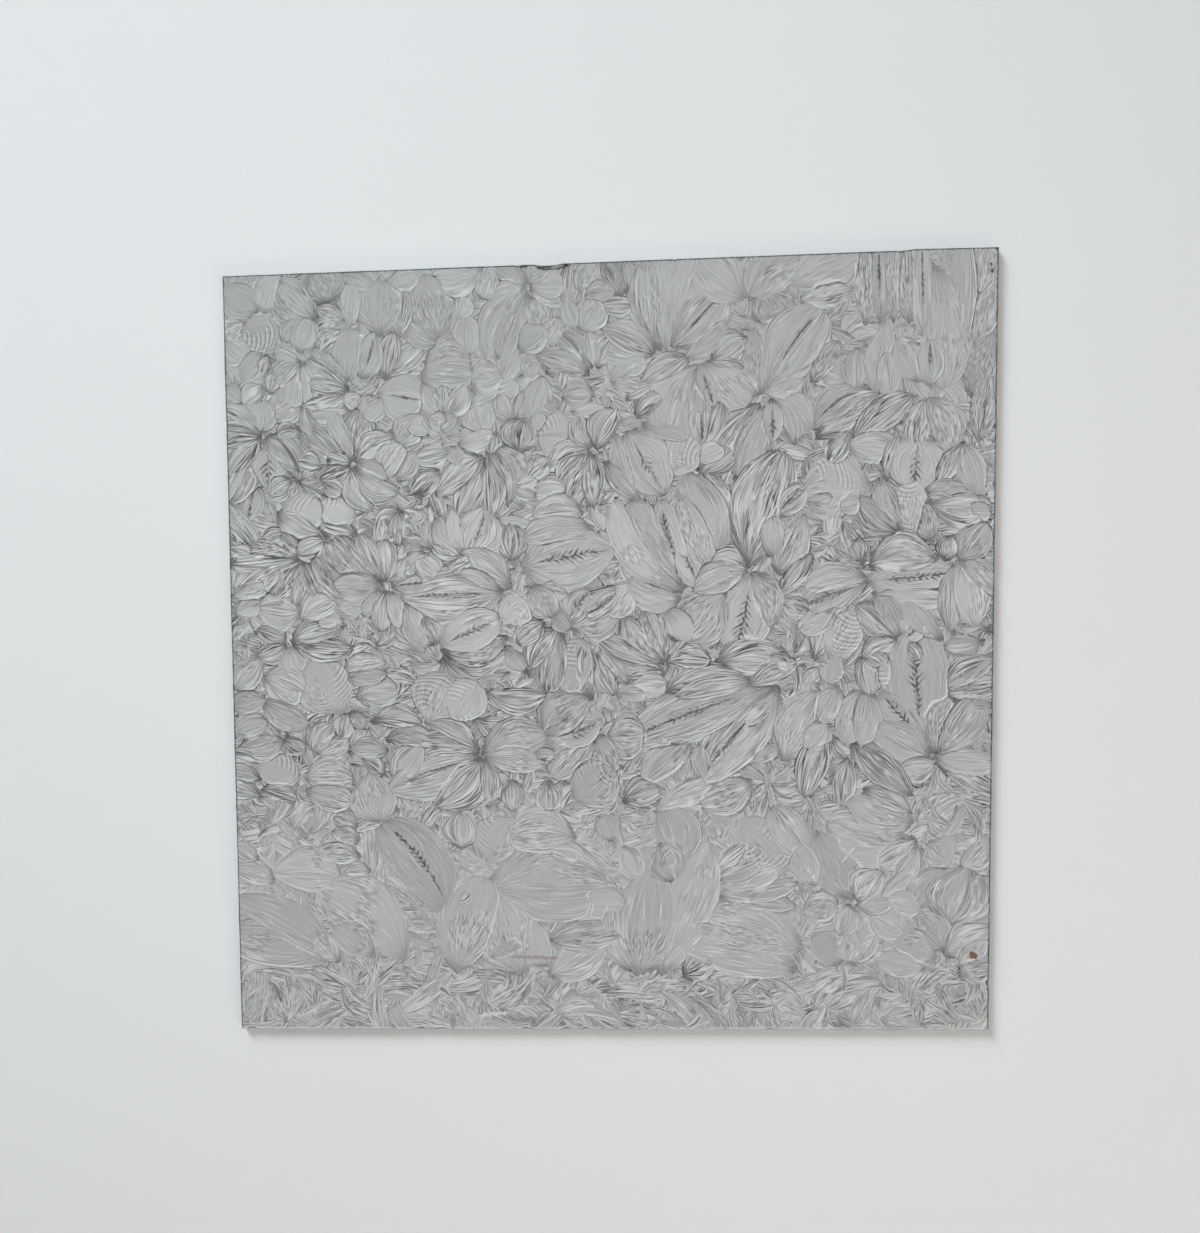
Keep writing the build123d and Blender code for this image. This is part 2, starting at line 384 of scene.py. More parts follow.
# %% Petals of the middle right
MIDDLE_RIGHT_PETALS = [
    # leaves below the top flowers
    (626, 430, 661, 488, 42, 0, "f"), (616, 432, 634, 489, 15, -6, "s"), (604, 460, 633, 493, 17, -2, "r"),
    (634, 436, 663, 464, 15, 3, "s"), (658, 447, 699, 458, 36, 2, "c"), (697, 463, 723, 449, 19, 4, "s"),
    (698, 474, 733, 451, 21, -3, "r"), (760, 402, 719, 482, 34, -9, "r"), (768, 404, 741, 483, 27, -3, "s"),
    # the tall arched petals over the centre flower
    (748, 568, 779, 463, 48, 9, "r"), (776, 516, 803, 489, 22, 2, "f"), (713, 562, 689, 481, 46, -6, "s"),
    (740, 560, 706, 477, 20, -7, "r"), (775, 561, 770, 519, 21, 0, "s"), (778, 575, 802, 520, 28, 0, "s"),
    (778, 596, 808, 558, 16, 0, "r"), (776, 600, 808, 613, 22, 0, "r"),
    # the long crescents
    (684, 593, 620, 511, 26, 15, "s"), (682, 600, 631, 583, 22, 9, "s"), (684, 590, 634, 511, 38, 5, "s"),
    (688, 588, 662, 510, 27, 2, "f"), (702, 590, 680, 547, 22, 0, "f"), (711, 575, 681, 499, 26, 0, "s"),
    # the centre flower
    (748, 570, 711, 563, 25, -6, "r"), (748, 572, 699, 588, 27, -5, "s"), (724, 588, 690, 634, 42, 0, "s"),
    (750, 572, 736, 643, 42, 3, "F"), (752, 571, 768, 623, 24, 9, "s"), (634, 582, 603, 615, 24, 3, "s"),
    (666, 609, 691, 637, 21, 0, "s"), (646, 612, 660, 640, 20, 0, "k"),
    # towards the right edge
    (850, 430, 831, 459, 18, 0, "r"), (845, 447, 897, 450, 26, 3, "s"), (857, 455, 884, 455, 10, 0, "s"),
    (884, 481, 897, 441, 17, 0, "r"), (919, 434, 914, 484, 46, 0, "F"), (965, 440, 940, 479, 18, 0, "r"),
    (962, 441, 979, 493, 22, 0, "s"), (873, 490, 811, 487, 46, -3, "c"), (839, 502, 809, 500, 21, 4, "s"),
    (864, 496, 839, 506, 18, 2, "s"), (902, 531, 881, 482, 21, 4, "r"), (900, 533, 861, 497, 25, 6, "r"),
    (912, 536, 910, 482, 23, 0, "c"), (926, 494, 956, 500, 11, 0, "s"), (924, 491, 963, 487, 15, 2, "s"),
    (926, 503, 985, 506, 28, -5, "r"), (963, 512, 989, 512, 19, 0, "s"), (932, 543, 921, 505, 19, 0, "s"),
    (958, 561, 985, 527, 27, 0, "s"), (946, 561, 948, 538, 18, 0, "r"),
    # the long lens and the leaves that meet at its left end
    (866, 580, 949, 572, 36, -2, "F"), (868, 565, 931, 560, 34, 9, "r"), (870, 593, 945, 596, 19, -4, "s"),
    (868, 578, 811, 588, 24, -7, "s"), (869, 581, 807, 605, 25, 0, "f"), (839, 604, 803, 628, 27, 0, "s"),
    (862, 562, 858, 540, 16, 0, "r"), (956, 562, 951, 625, 23, -2, "s"), (958, 560, 973, 620, 31, 3, "s"),
    (962, 558, 994, 590, 23, 2, "s"),
]
print("petals of the middle right:", len(MIDDLE_RIGHT_PETALS))

# %% Petals of the lower left and middle
LOWER_LEFT_PETALS = [
    # fans and lenses under the left edge's ribs
    (291, 642, 341, 627, 22, 3, "r"), (292, 644, 347, 649, 22, -2, "r"), (288, 640, 261, 631, 18, 0, "r"),
    (287, 644, 259, 656, 19, 3, "r"), (290, 646, 293, 673, 21, 0, "s"), (262, 676, 303, 694, 30, 2, "s"),
    (262, 700, 305, 723, 21, -4, "s"), (344, 713, 317, 663, 42, 6, "c"), (343, 668, 382, 663, 16, 3, "s"),
    (345, 678, 383, 675, 16, 0, "s"), (355, 697, 394, 691, 23, 2, "s"), (347, 713, 343, 740, 17, -2, "r"),
    (350, 712, 364, 728, 13, 0, "r"), (370, 722, 417, 723, 18, 7, "r"), (384, 740, 431, 745, 18, 7, "r"),
    (234, 690, 259, 661, 22, 0, "s"), (230, 706, 263, 700, 19, 0, "s"), (231, 736, 263, 722, 19, 3, "s"),
    (285, 740, 249, 749, 21, 4, "s"), (284, 738, 304, 749, 14, -2, "r"), (262, 765, 230, 755, 15, -2, "r"),
    (262, 781, 230, 771, 16, -2, "r"), (262, 797, 230, 787, 16, -2, "r"), (304, 777, 349, 779, 24, 5, "s"),
    (301, 776, 261, 768, 27, 0, "c"), (312, 753, 331, 727, 21, 2, "s"), (318, 756, 346, 741, 19, 0, "s"),
    (389, 752, 355, 748, 17, -2, "s"), (385, 776, 364, 760, 13, -3, "r"), (383, 823, 371, 777, 34, 4, "s"),
    (305, 790, 347, 801, 23, 0, "s"), (261, 790, 294, 798, 15, 4, "r"), (396, 786, 421, 747, 26, 3, "s"),
]

LOWER_MIDDLE_PETALS = [
    # the lens with its arcs, and the rings below
    (440, 646, 493, 621, 38, 0, "F"), (440, 650, 501, 638, 26, -9, "r"), (441, 656, 502, 650, 24, -10, "r"),
    (437, 645, 423, 617, 20, 2, "r"), (506, 645, 522, 668, 16, -3, "r"), (545, 621, 520, 641, 21, 0, "r"),
    (560, 628, 533, 664, 23, -6, "r"), (561, 628, 549, 686, 25, -3, "r"), (580, 632, 565, 689, 26, 6, "c"),
    (598, 655, 612, 691, 20, -3, "r"), (590, 700, 585, 649, 18, 0, "r"), (599, 653, 624, 680, 16, -3, "r"),
    (448, 671, 430, 717, 40, 0, "c"), (477, 679, 455, 717, 33, 0, "c"), (484, 692, 541, 695, 20, -8, "r"),
    # the flower with the dark smooth petal
    (541, 737, 583, 701, 36, 6, "s"), (542, 738, 596, 722, 28, -4, "F"), (481, 755, 541, 738, 37, 3, "s"),
    # the flower to its left
    (481, 757, 395, 789, 42, -3, "f"), (480, 754, 421, 742, 16, -6, "r"), (480, 752, 430, 725, 18, -7, "r"),
    (482, 758, 439, 802, 32, 9, "r"), (484, 758, 489, 795, 17, 2, "r"), (484, 757, 538, 763, 21, 2, "s"),
    (530, 760, 557, 758, 15, 4, "r"), (512, 779, 512, 808, 17, 0, "r"), (548, 779, 548, 808, 19, 0, "r"),
    (575, 802, 609, 771, 38, 0, "c"), (598, 732, 555, 771, 25, 0, "s"), (598, 734, 613, 762, 17, 0, "s"),
]
print("petals of the lower left and middle:", len(LOWER_LEFT_PETALS) + len(LOWER_MIDDLE_PETALS))

# %% Petals of the lower right
LOWER_RIGHT_PETALS = [
    # the fans on both sides of the long feathered seam
    (665, 672, 629, 677, 19, -6, "r"), (665, 665, 706, 660, 21, 7, "r"), (664, 664, 629, 621, 27, 4, "r"),
    (662, 665, 605, 641, 22, 3, "r"), (665, 663, 646, 615, 20, 0, "r"), (629, 685, 605, 651, 19, -3, "r"),
    (630, 685, 663, 684, 20, 0, "s"), (712, 666, 785, 665, 29, 8, "r"), (716, 664, 761, 647, 22, 4, "r"),
    (760, 663, 788, 669, 19, 4, "r"), (664, 691, 741, 677, 26, 5, "r"), (668, 700, 743, 684, 22, 4, "r"),
    (745, 689, 791, 664, 19, 3, "r"), (607, 736, 644, 736, 35, 0, "s"), (615, 693, 644, 693, 14, 0, "s"),
    # the two long smooth leaves
    (777, 685, 635, 738, 42, -4, "f"), (779, 687, 702, 779, 44, -3, "f"), (778, 690, 741, 721, 17, 4, "s"),
    (693, 739, 660, 736, 11, 0, "s"), (691, 742, 646, 780, 26, -5, "s"), (702, 742, 706, 777, 20, 0, "s"),
    (783, 762, 814, 698, 32, 6, "s"), (782, 742, 757, 758, 11, 2, "s"), (654, 813, 714, 787, 20, 5, "s"),
    (753, 781, 705, 802, 27, 4, "s"), (622, 802, 656, 790, 23, 4, "r"),
    # swirls and smooth petals to the right of them
    (832, 659, 853, 615, 36, 6, "c"), (814, 661, 846, 605, 20, 7, "r"), (828, 685, 834, 657, 19, 0, "c"),
    (860, 656, 869, 692, 23, 6, "r"), (862, 655, 887, 669, 18, 3, "r"), (859, 689, 846, 739, 31, 4, "s"),
    (867, 690, 862, 743, 27, 4, "s"), (838, 685, 820, 719, 21, 0, "s"), (827, 722, 807, 750, 23, 0, "s"),
    (900, 640, 865, 656, 18, -4, "r"), (902, 640, 923, 625, 18, 0, "F"), (903, 642, 918, 661, 18, 0, "r"),
    # the tall leaf full of frost, and the petals at its foot
    (922, 742, 916, 638, 50, 2, "F"), (887, 692, 886, 656, 14, 0, "c"), (929, 757, 879, 728, 40, 4, "s"),
    (930, 757, 884, 699, 26, -3, "f"), (898, 768, 931, 764, 21, -4, "s"), (932, 754, 947, 700, 27, 0, "s"),
    (937, 756, 977, 701, 30, -3, "s"), (940, 690, 992, 661, 22, 4, "r"), (942, 694, 994, 684, 21, 0, "r"),
    (945, 701, 987, 705, 14, 0, "s"), (932, 757, 992, 764, 23, -4, "s"), (934, 761, 997, 791, 21, 3, "r"),
    (850, 742, 906, 791, 27, 3, "r"), (847, 757, 842, 803, 18, 0, "r"), (828, 724, 806, 790, 24, -3, "r"),
    (862, 789, 907, 811, 18, 3, "r"), (902, 638, 881, 598, 25, 0, "s"), (903, 638, 905, 598, 20, 0, "s"),
    (898, 640, 861, 608, 24, 0, "r"), (943, 641, 904, 602, 20, 2, "s"), (985, 640, 948, 645, 16, 3, "r"),
]
print("petals of the lower right:", len(LOWER_RIGHT_PETALS))

# %% Petals along the bottom
BOTTOM_LEFT_PETALS = [
    # the dome at the left and the short fan beside it
    (345, 880, 279, 874, 34, -8, "s"), (362, 858, 318, 856, 18, -5, "r"), (276, 882, 236, 870, 18, -3, "r"),
    (258, 862, 236, 846, 16, 0, "r"), (358, 828, 336, 818, 16, -2, "r"), (360, 842, 335, 832, 16, -2, "r"),
    (372, 872, 347, 874, 14, -3, "r"),
    # the long low arches that start at the left edge
    (338, 961, 235, 905, 30, -12, "s"), (332, 958, 234, 935, 44, -8, "s"), (407, 960, 330, 894, 46, -12, "s"),
    (374, 956, 338, 930, 26, -3, "s"), (340, 962, 318, 936, 18, 0, "r"),
    # the veined leaf under the middle left
    (452, 921, 390, 833, 42, -10, "f"),
]

BOTTOM_MIDDLE_PETALS = [
    (462, 849, 460, 815, 28, 0, "r"), (490, 863, 510, 823, 34, 6, "c"), (577, 838, 513, 838, 38, -8, "s"),
    (590, 864, 551, 852, 18, -4, "r"), (612, 842, 604, 818, 18, 0, "s"),
    # the wide arch and the leaf inside it
    (483, 892, 594, 886, 62, 8, "s"), (497, 900, 556, 892, 24, 0, "f"), (475, 890, 458, 902, 14, 0, "r"),
    # tall pointed facets that stand on the lower edge
    (456, 974, 481, 887, 46, 4, "s"), (520, 976, 499, 901, 42, 0, "s"), (546, 968, 529, 922, 24, 3, "s"),
    (488, 957, 522, 944, 16, 3, "s"), (575, 907, 624, 913, 28, 6, "s"), (545, 940, 620, 930, 26, 0, "r"),
    (548, 976, 600, 948, 30, 0, "s"),
]

BOTTOM_RIGHT_PETALS = [
    # the two great smooth leaves and the long line between them
    (636, 976, 652, 878, 54, -6, "s"), (660, 976, 703, 856, 44, 0, "s"), (676, 884, 664, 846, 34, 0, "r"),
    (660, 884, 644, 850, 30, -6, "c"), (640, 882, 624, 850, 22, -2, "r"), (636, 974, 616, 905, 30, 4, "r"),
    (686, 866, 668, 812, 34, -3, "s"),
    # the fan of low ribs that opens to the right
    (713, 893, 790, 884, 20, -4, "r"), (714, 886, 772, 868, 22, -5, "r"), (714, 878, 757, 861, 20, -5, "r"),
    (716, 900, 788, 906, 18, 4, "s"), (714, 868, 744, 846, 18, -4, "r"), (792, 870, 748, 824, 38, 6, "c"),
    (812, 862, 776, 812, 34, 4, "r"),
    # flat leaves that lie along the lower edge
    (803, 948, 706, 922, 42, -6, "s"), (798, 970, 688, 950, 34, -6, "s"), (682, 976, 714, 960, 22, 2, "r"),
    (722, 938, 690, 930, 16, -2, "r"),
]

BOTTOM_CORNER_PETALS = [
    # facets around the bright beaded crests
    (853, 900, 820, 838, 36, -2, "s"), (908, 842, 835, 828, 48, 10, "s"), (914, 822, 853, 800, 28, 8, "s"),
    (818, 886, 800, 846, 26, 2, "s"),
    # short curved ribs that fall from the centre right
    (916, 838, 880, 862, 26, 5, "r"), (918, 845, 900, 884, 28, 6, "r"), (924, 862, 884, 896, 22, 3, "r"),
    (928, 842, 948, 862, 28, 2, "s"),
    # the bell with wide dark ribs
    (948, 927, 966, 872, 64, -4, "r"), (912, 918, 944, 874, 34, 6, "r"), (980, 920, 984, 880, 20, 0, "r"),
    (960, 868, 985, 842, 20, -5, "s"), (880, 900, 916, 912, 22, 4, "s"),
    # the small flower above the lower edge
    (855, 900, 880, 874, 28, 6, "r"), (855, 905, 890, 902, 18, -3, "r"), (850, 904, 843, 932, 24, 3, "r"),
    (857, 905, 862, 944, 30, 4, "s"), (838, 900, 806, 912, 24, 0, "s"), (866, 908, 900, 932, 30, 3, "s"),
    # the crossed leaves in the corner
    (944, 952, 921, 916, 26, -4, "r"), (944, 956, 988, 930, 26, 4, "r"), (958, 966, 984, 942, 18, 0, "s"),
    (848, 964, 846, 938, 22, 0, "s"), (850, 964, 870, 934, 24, 2, "s"), (842, 964, 816, 938, 26, -2, "s"),
    (936, 958, 898, 944, 30, -3, "s"), (926, 968, 880, 962, 22, -2, "s"), (956, 974, 990, 968, 22, 2, "s"),
]
print("petals along the bottom:", len(BOTTOM_LEFT_PETALS) + len(BOTTOM_MIDDLE_PETALS)
      + len(BOTTOM_RIGHT_PETALS) + len(BOTTOM_CORNER_PETALS))

# %% Lay the big petals
# looks are the shares of ribs, rings, fern and crumple, and depth is in millimetres.
FINISHES = {
    "r": {"looks": (1.0, 0.0, 0.0, 0.1), "depth": 0.26},
    "s": {"looks": (0.45, 0.0, 0.0, 0.0), "depth": 0.28},
    "f": {"looks": (0.55, 0.0, 0.6, 0.1), "depth": 0.26},
    "F": {"looks": (0.25, 0.0, 1.0, 0.0), "depth": 0.26},
    "c": {"looks": (0.15, 1.0, 0.0, 0.0), "depth": 0.24},
    "k": {"looks": (0.60, 0.0, 0.2, 0.9), "depth": 0.22},
}
BIG_PETALS = (TOP_RIGHT_PETALS + TOP_LEFT_PETALS + TOP_MIDDLE_PETALS + MIDDLE_LEFT_PETALS + CENTRE_PETALS
              + MIDDLE_RIGHT_PETALS + LOWER_LEFT_PETALS + LOWER_MIDDLE_PETALS + LOWER_RIGHT_PETALS
              + BOTTOM_LEFT_PETALS + BOTTOM_MIDDLE_PETALS + BOTTOM_RIGHT_PETALS + BOTTOM_CORNER_PETALS)
DEEPER_BY_WIDTH = 0.05
WIDER = 1.4
LONGER = 1.12
DEPTH_SPREAD = (0.8, 1.1)
SKEW_SPREAD = (-0.8, 0.8)


def lay_petals(rows):
    """Carries each row to the pane. Width and curl keep their ratio to the straight line base to tip.

    The rows follow the crests, so each petal is made a little larger, to cut into its neighbours there.
    """
    places = on_pane(np.array([row[:4] for row in rows], float).reshape(-1, 2)).reshape(-1, 2, 2)
    for (base_x, base_y, tip_x, tip_y, width, curl, look), (base, tip) in zip(rows, places):
        scale = math.dist(base, tip) / math.hypot(tip_x - base_x, tip_y - base_y)
        finish = FINISHES[look]
        depth = min(finish["depth"] * rng.uniform(*DEPTH_SPREAD), DEEPER_BY_WIDTH * width * scale)
        tip = base + (tip - base) * LONGER
        add_petal(base, tip, width * scale * WIDER, curl * scale, depth, rng.uniform(*SKEW_SPREAD),
                  finish["looks"])


lay_petals(BIG_PETALS)
big_count = len(petals["x"])
print("big petals:", big_count)

# %% [markdown]
# ## Small petals between the big ones
#
# What is left between the big chips is covered with smaller flowers, so no blasted face stays bare. They
# stand on a jittered grid. By the left edge, halfway up, the glue bit hard and the flowers are small and
# sharply ribbed, and near the bottom they are wide and shallow. Towards the top and the bottom all chips,
# large ones too, are shallower.

# %% Small flowers
FLOWER_STEP = 16.0
FLOWER_SHIFT = 0.45
SHARP_PATCH = {"x": -105.0, "y": 10.0, "radius": 70.0, "smaller": 0.3}
CALM_BELOW = -60.0
CALM_RUN = 40.0
CALM_LARGER = 0.7
PETALS_PER_FLOWER = (8, 13)     # from the first number to one below the second
# Ranges for one small petal. Turn is a share of the step between petals, reach and depth are in
# millimetres, and width and bow are shares of the reach.
SMALL_PETAL = {
    "turn": (-0.3, 0.3), "reach": (8, 24), "ribs": (0.6, 1.0), "crumple": (0.0, 0.6),
    "width": (0.26, 0.46), "bow": (-0.3, 0.3), "depth": (0.10, 0.24), "skew": (-0.9, 0.9),
}
SHALLOWER = 0.4
SHALLOW_FROM = 60.0
SHALLOW_RUN = 45.0


def flower_scale(x, y):
    """How large a small flower is at x, y: under 1 in the sharp patch, over 1 in the calm lower part."""
    away_squared = (x - SHARP_PATCH["x"]) ** 2 + (y - SHARP_PATCH["y"]) ** 2
    sharp = math.exp(-away_squared / SHARP_PATCH["radius"] ** 2)
    calm = min(max((CALM_BELOW - y) / CALM_RUN, 0), 1)
    return 1 - SHARP_PATCH["smaller"] * sharp + CALM_LARGER * calm


def draw(trait):
    """A random value of a small petal's trait, from its range."""
    return rng.uniform(*SMALL_PETAL[trait])


def small_flower(x, y):
    """Narrow petals all round one centre, each with its own reach, turn, bow and finish."""
    scale = flower_scale(x, y)
    count = rng.integers(*PETALS_PER_FLOWER)
    start = rng.uniform(0, 2 * math.pi)
    for k in range(count):
        angle = start + 2 * math.pi * (k + draw("turn")) / count
        reach = draw("reach") * scale
        tip = (x + reach * math.cos(angle), y + reach * math.sin(angle))
        looks = (draw("ribs"), 0.0, 0.0, draw("crumple"))
        add_petal((x, y), tip, reach * draw("width"), reach * draw("bow"), draw("depth"), draw("skew"), looks)


for row_y in np.arange(BOTTOM, TOP + FLOWER_STEP, FLOWER_STEP):
    for column_x in np.arange(LEFT, RIGHT + FLOWER_STEP, FLOWER_STEP):
        shift_x, shift_y = rng.uniform(-FLOWER_SHIFT, FLOWER_SHIFT, 2) * FLOWER_STEP
        small_flower(column_x + shift_x, row_y + shift_y)
P = {field: np.array(values) for field, values in petals.items()}
P["depth"] *= 1 - SHALLOWER * np.clip((P["y"] - SHALLOW_FROM) / SHALLOW_RUN, 0, 1)
P["depth"] *= 1 - SHALLOWER * np.clip((CALM_BELOW - P["y"]) / SHALLOW_RUN, 0, 1)
print("small petals:", len(P["x"]) - big_count)

# %% [markdown]
# ## The surface: the lowest petal at every point
#
# A new scallop cuts through the ones before it, so the surface is simply the lowest petal at each point,
# and the crests are the lines where two petals are equally low. The small petals only fill what the big
# ones leave: they start at nothing on a big petal's outline and reach their depth a millimetre from it,
# so each big petal keeps its drawn shape, with a sharp crest all round.

# %% Places on the sheet, and the part of the grid that a petal can touch
COLUMNS, ROWS = 299, 302
ARRIS = 0.2
COVER_REACH = 4.0
SPARE_LINES = 2


def sheet_point(s, t, inset):
    """Place on the sheet for shares s across and t up, on an outline that is moved inwards by inset."""
    y = BOTTOM + inset + t * (top_edge(LEFT + s * (RIGHT - LEFT)) - BOTTOM - 2 * inset)
    x = LEFT + inset + s * (right_edge(y) - LEFT - 2 * inset)
    return x, y


def index_range(low, high, start, span, spare, count):
    """The grid lines that a stretch from low to high can touch on a side that is up to spare shorter."""
    first = math.floor((low - start) / span * count) - SPARE_LINES
    last = math.ceil((high - start) / (span - spare) * count) + SPARE_LINES + 1
    return slice(max(first, 0), max(last, 0))


def petal_blocks():
    """For each petal, the rows and columns of the grid that its box can touch."""
    spread = P["width"] / 2 + np.abs(P["bow"]) + COVER_REACH
    tip_x = P["x"] + P["run_x"] * P["length"]
    tip_y = P["y"] + P["run_y"] * P["length"]
    low_x, high_x = np.minimum(P["x"], tip_x) - spread, np.maximum(P["x"], tip_x) + spread
    low_y, high_y = np.minimum(P["y"], tip_y) - spread, np.maximum(P["y"], tip_y) + spread
    return [(index_range(low_y[p], high_y[p], BOTTOM, TOP - BOTTOM, LEFT_FALL, ROWS),
             index_range(low_x[p], high_x[p], LEFT, RIGHT - LEFT, BOTTOM_SHORTFALL, COLUMNS))
            for p in range(len(spread))]


blocks = petal_blocks()
print("grid cells:", COLUMNS * ROWS)

# %% Lowest petal on a grid
COVER_FADE = 0.9


def room_for_small(x, y):
    """How deep the small petals may be at x, y: 0 inside a big petal, rising to 1 with the distance."""
    gap = np.full(x.shape, COVER_REACH)
    for p in range(big_count):
        gap[blocks[p]] = np.minimum(gap[blocks[p]], distance_outside(p, x[blocks[p]], y[blocks[p]]))
    return 1 - np.exp(-gap / COVER_FADE)


def held_height(p, x, y, room):
    """Height of petal p, where a small petal is only as deep as there is room for it."""
    height = petal_height(p, x, y)
    return np.where((p >= big_count) & (height < 0), height * room, height)


def lowest_petal(x, y):
    """The lowest petal at a grid of places, the runner-up, the height of both, and the room."""
    room = room_for_small(x, y)
    owner, runner = np.full(x.shape, -1), np.full(x.shape, -1)
    height, second = np.zeros(x.shape), np.zeros(x.shape)
    for p, block in enumerate(blocks):
        level = held_height(p, x[block], y[block], room[block])
        lower = level < height[block]
        between = ~lower & (level < second[block])
        runner[block] = np.where(lower, owner[block], np.where(between, p, runner[block]))
        second[block] = np.where(lower, height[block], np.where(between, level, second[block]))
        height[block] = np.where(lower, level, height[block])
        owner[block] = np.where(lower, p, owner[block])
    return {"owner": owner, "runner": runner, "height": height, "second": second, "room": room}


def surface_height(owner, x, y, room):
    """Height of the named petals at x, y, where owner -1 stands for the bare face."""
    return np.where(owner < 0, 0.0, held_height(np.maximum(owner, 0), x, y, room))


share_s, share_t = np.meshgrid(np.linspace(0, 1, COLUMNS + 1), np.linspace(0, 1, ROWS + 1))
grid_x, grid_y = sheet_point(share_s, share_t, ARRIS)
grid = lowest_petal(grid_x, grid_y)
print("grid points with a petal:", round(float((grid["owner"] >= 0).mean()), 3),
      "and with a big one:", round(float((grid["room"] == 0).mean()), 3))

# %% Slide grid points onto the crests
HALFWAY = 0.5
OUT_OF_REACH = 9.0


def near_and_far(axis):
    """Index pairs that give the two ends of every grid edge along an axis."""
    near, far = [slice(None)] * 2, [slice(None)] * 2
    near[axis], far[axis] = slice(None, -1), slice(1, None)
    return tuple(near), tuple(far)


def crossing_share(axis):
    """For each grid edge along an axis: how far along it the two ends' petals are equally low, or nan."""
    owner, room = grid["owner"], grid["room"]
    near, far = near_and_far(axis)
    gaps = [surface_height(owner[near], grid_x[end], grid_y[end], room[end])
            - surface_height(owner[far], grid_x[end], grid_y[end], room[end]) for end in (near, far)]
    with np.errstate(divide="ignore", invalid="ignore"):
        share = gaps[0] / (gaps[0] - gaps[1])
    return np.where(owner[near] != owner[far], np.clip(share, 0, 1), np.nan)


def slide_to_crests():
    """Moves each point to the nearest crest crossing on its four grid edges, if that is under halfway.

    Points on the outline only slide along it, so the sheet keeps its shape.
    """
    best = np.full(grid_x.shape, HALFWAY)
    move_x, move_y = np.zeros(grid_x.shape), np.zeros(grid_x.shape)
    for axis in (0, 1):
        near, far = near_and_far(axis)
        share = crossing_share(axis)
        for step, here, reach_here in ((1, near, share), (-1, far, 1 - share)):
            reach = np.full(grid_x.shape, OUT_OF_REACH)
            reach[here] = reach_here
            reach.swapaxes(0, axis)[[0, -1]] = OUT_OF_REACH
            closer = reach < best
            move_x = np.where(closer, reach * (np.roll(grid_x, -step, axis) - grid_x), move_x)
            move_y = np.where(closer, reach * (np.roll(grid_y, -step, axis) - grid_y), move_y)
            best = np.where(closer, reach, best)
    return grid_x + move_x, grid_y + move_y, best < HALFWAY


slid_x, slid_y, on_crest = slide_to_crests()
surface = lowest_petal(slid_x, slid_y)
print("points on crests:", int(on_crest.sum()), "of", on_crest.size)

# %% Triangles whose edges follow the crests
def cell_corners(a):
    """Values at the four corners of every cell: lower left, lower right, upper right, upper left."""
    return a[:-1, :-1], a[:-1, 1:], a[1:, 1:], a[1:, :-1]


def pick_diagonals():
    """True where a cell is cut from lower left to upper right.

    A diagonal that joins two crest points wins. Elsewhere the one whose middle is nearer the true height.
    """
    crest_a, crest_b, crest_c, crest_d = cell_corners(on_crest)
    rising, falling = crest_a & crest_c, crest_b & crest_d
    high_a, high_b, high_c, high_d = cell_corners(surface["height"])
    x, y = (sum(cell_corners(a)) / 4 for a in (slid_x, slid_y))
    middle = lowest_petal(x, y)["height"]
    nearer = np.abs((high_a + high_c) / 2 - middle) < np.abs((high_b + high_d) / 2 - middle)
    return np.where(rising == falling, nearer, rising)


number = np.arange(slid_x.size).reshape(slid_x.shape)
rising = pick_diagonals()
corner_a, corner_b, corner_c, corner_d = cell_corners(number)
lower = np.stack([corner_a, corner_b, np.where(rising, corner_c, corner_d)], axis=-1)
upper = np.stack([np.where(rising, corner_a, corner_b), corner_c, corner_d], axis=-1)


def triangle_owner(triangles):
    """The petal that each triangle belongs to: the lowest at its middle."""
    x, y = (a.ravel()[triangles].mean(axis=-1) for a in (slid_x, slid_y))
    return lowest_petal(x, y)["owner"].ravel()


relief_triangles = np.concatenate([lower.reshape(-1, 3), upper.reshape(-1, 3)])
relief_owner = np.concatenate([triangle_owner(lower), triangle_owner(upper)])
print("relief triangles:", len(relief_triangles))

# %% Distance to the nearest crest
PROBE = 0.05
SLOPE_RANGE = (0.02, 1.5)
FAR_FROM_CREST = 3.0


def crest_distance():
    """Distance in mm from each point to its crest, and how sharply the two petals meet there.

    The gap between the runner-up and the lowest petal is 0 on a crest. The gap over its own slope, found
    from two probes beside the point, is the distance, and the slope itself is the sharpness.
    """
    owner, runner, room = surface["owner"], surface["runner"], surface["room"]

    def gap(x, y):
        return surface_height(runner, x, y, room) - surface_height(owner, x, y, room)

    here = gap(slid_x, slid_y)
    slope_x = (gap(slid_x + PROBE, slid_y) - gap(slid_x - PROBE, slid_y)) / (2 * PROBE)
    slope_y = (gap(slid_x, slid_y + PROBE) - gap(slid_x, slid_y - PROBE)) / (2 * PROBE)
    slope = np.clip(np.hypot(slope_x, slope_y), *SLOPE_RANGE)
    return np.clip(here / slope, 0, FAR_FROM_CREST), slope


crest_away, crest_sharpness = crest_distance()
crest_away[on_crest] = 0.0
print("share within half a mm of a crest:", round(float((crest_away < 0.5).mean()), 3))

# %% [markdown]
# ## The snapped edges
#
# The edges were only broken along a score, so the glass has small flakes off its upper arris, and one
# larger nick in the top edge where the running pliers gripped. A flake is a scoop: part of a ball that
# bites into the wall. Each row is the place along its edge, the length, the bite and the depth below the
# face, in millimetres, the same as in the solid.

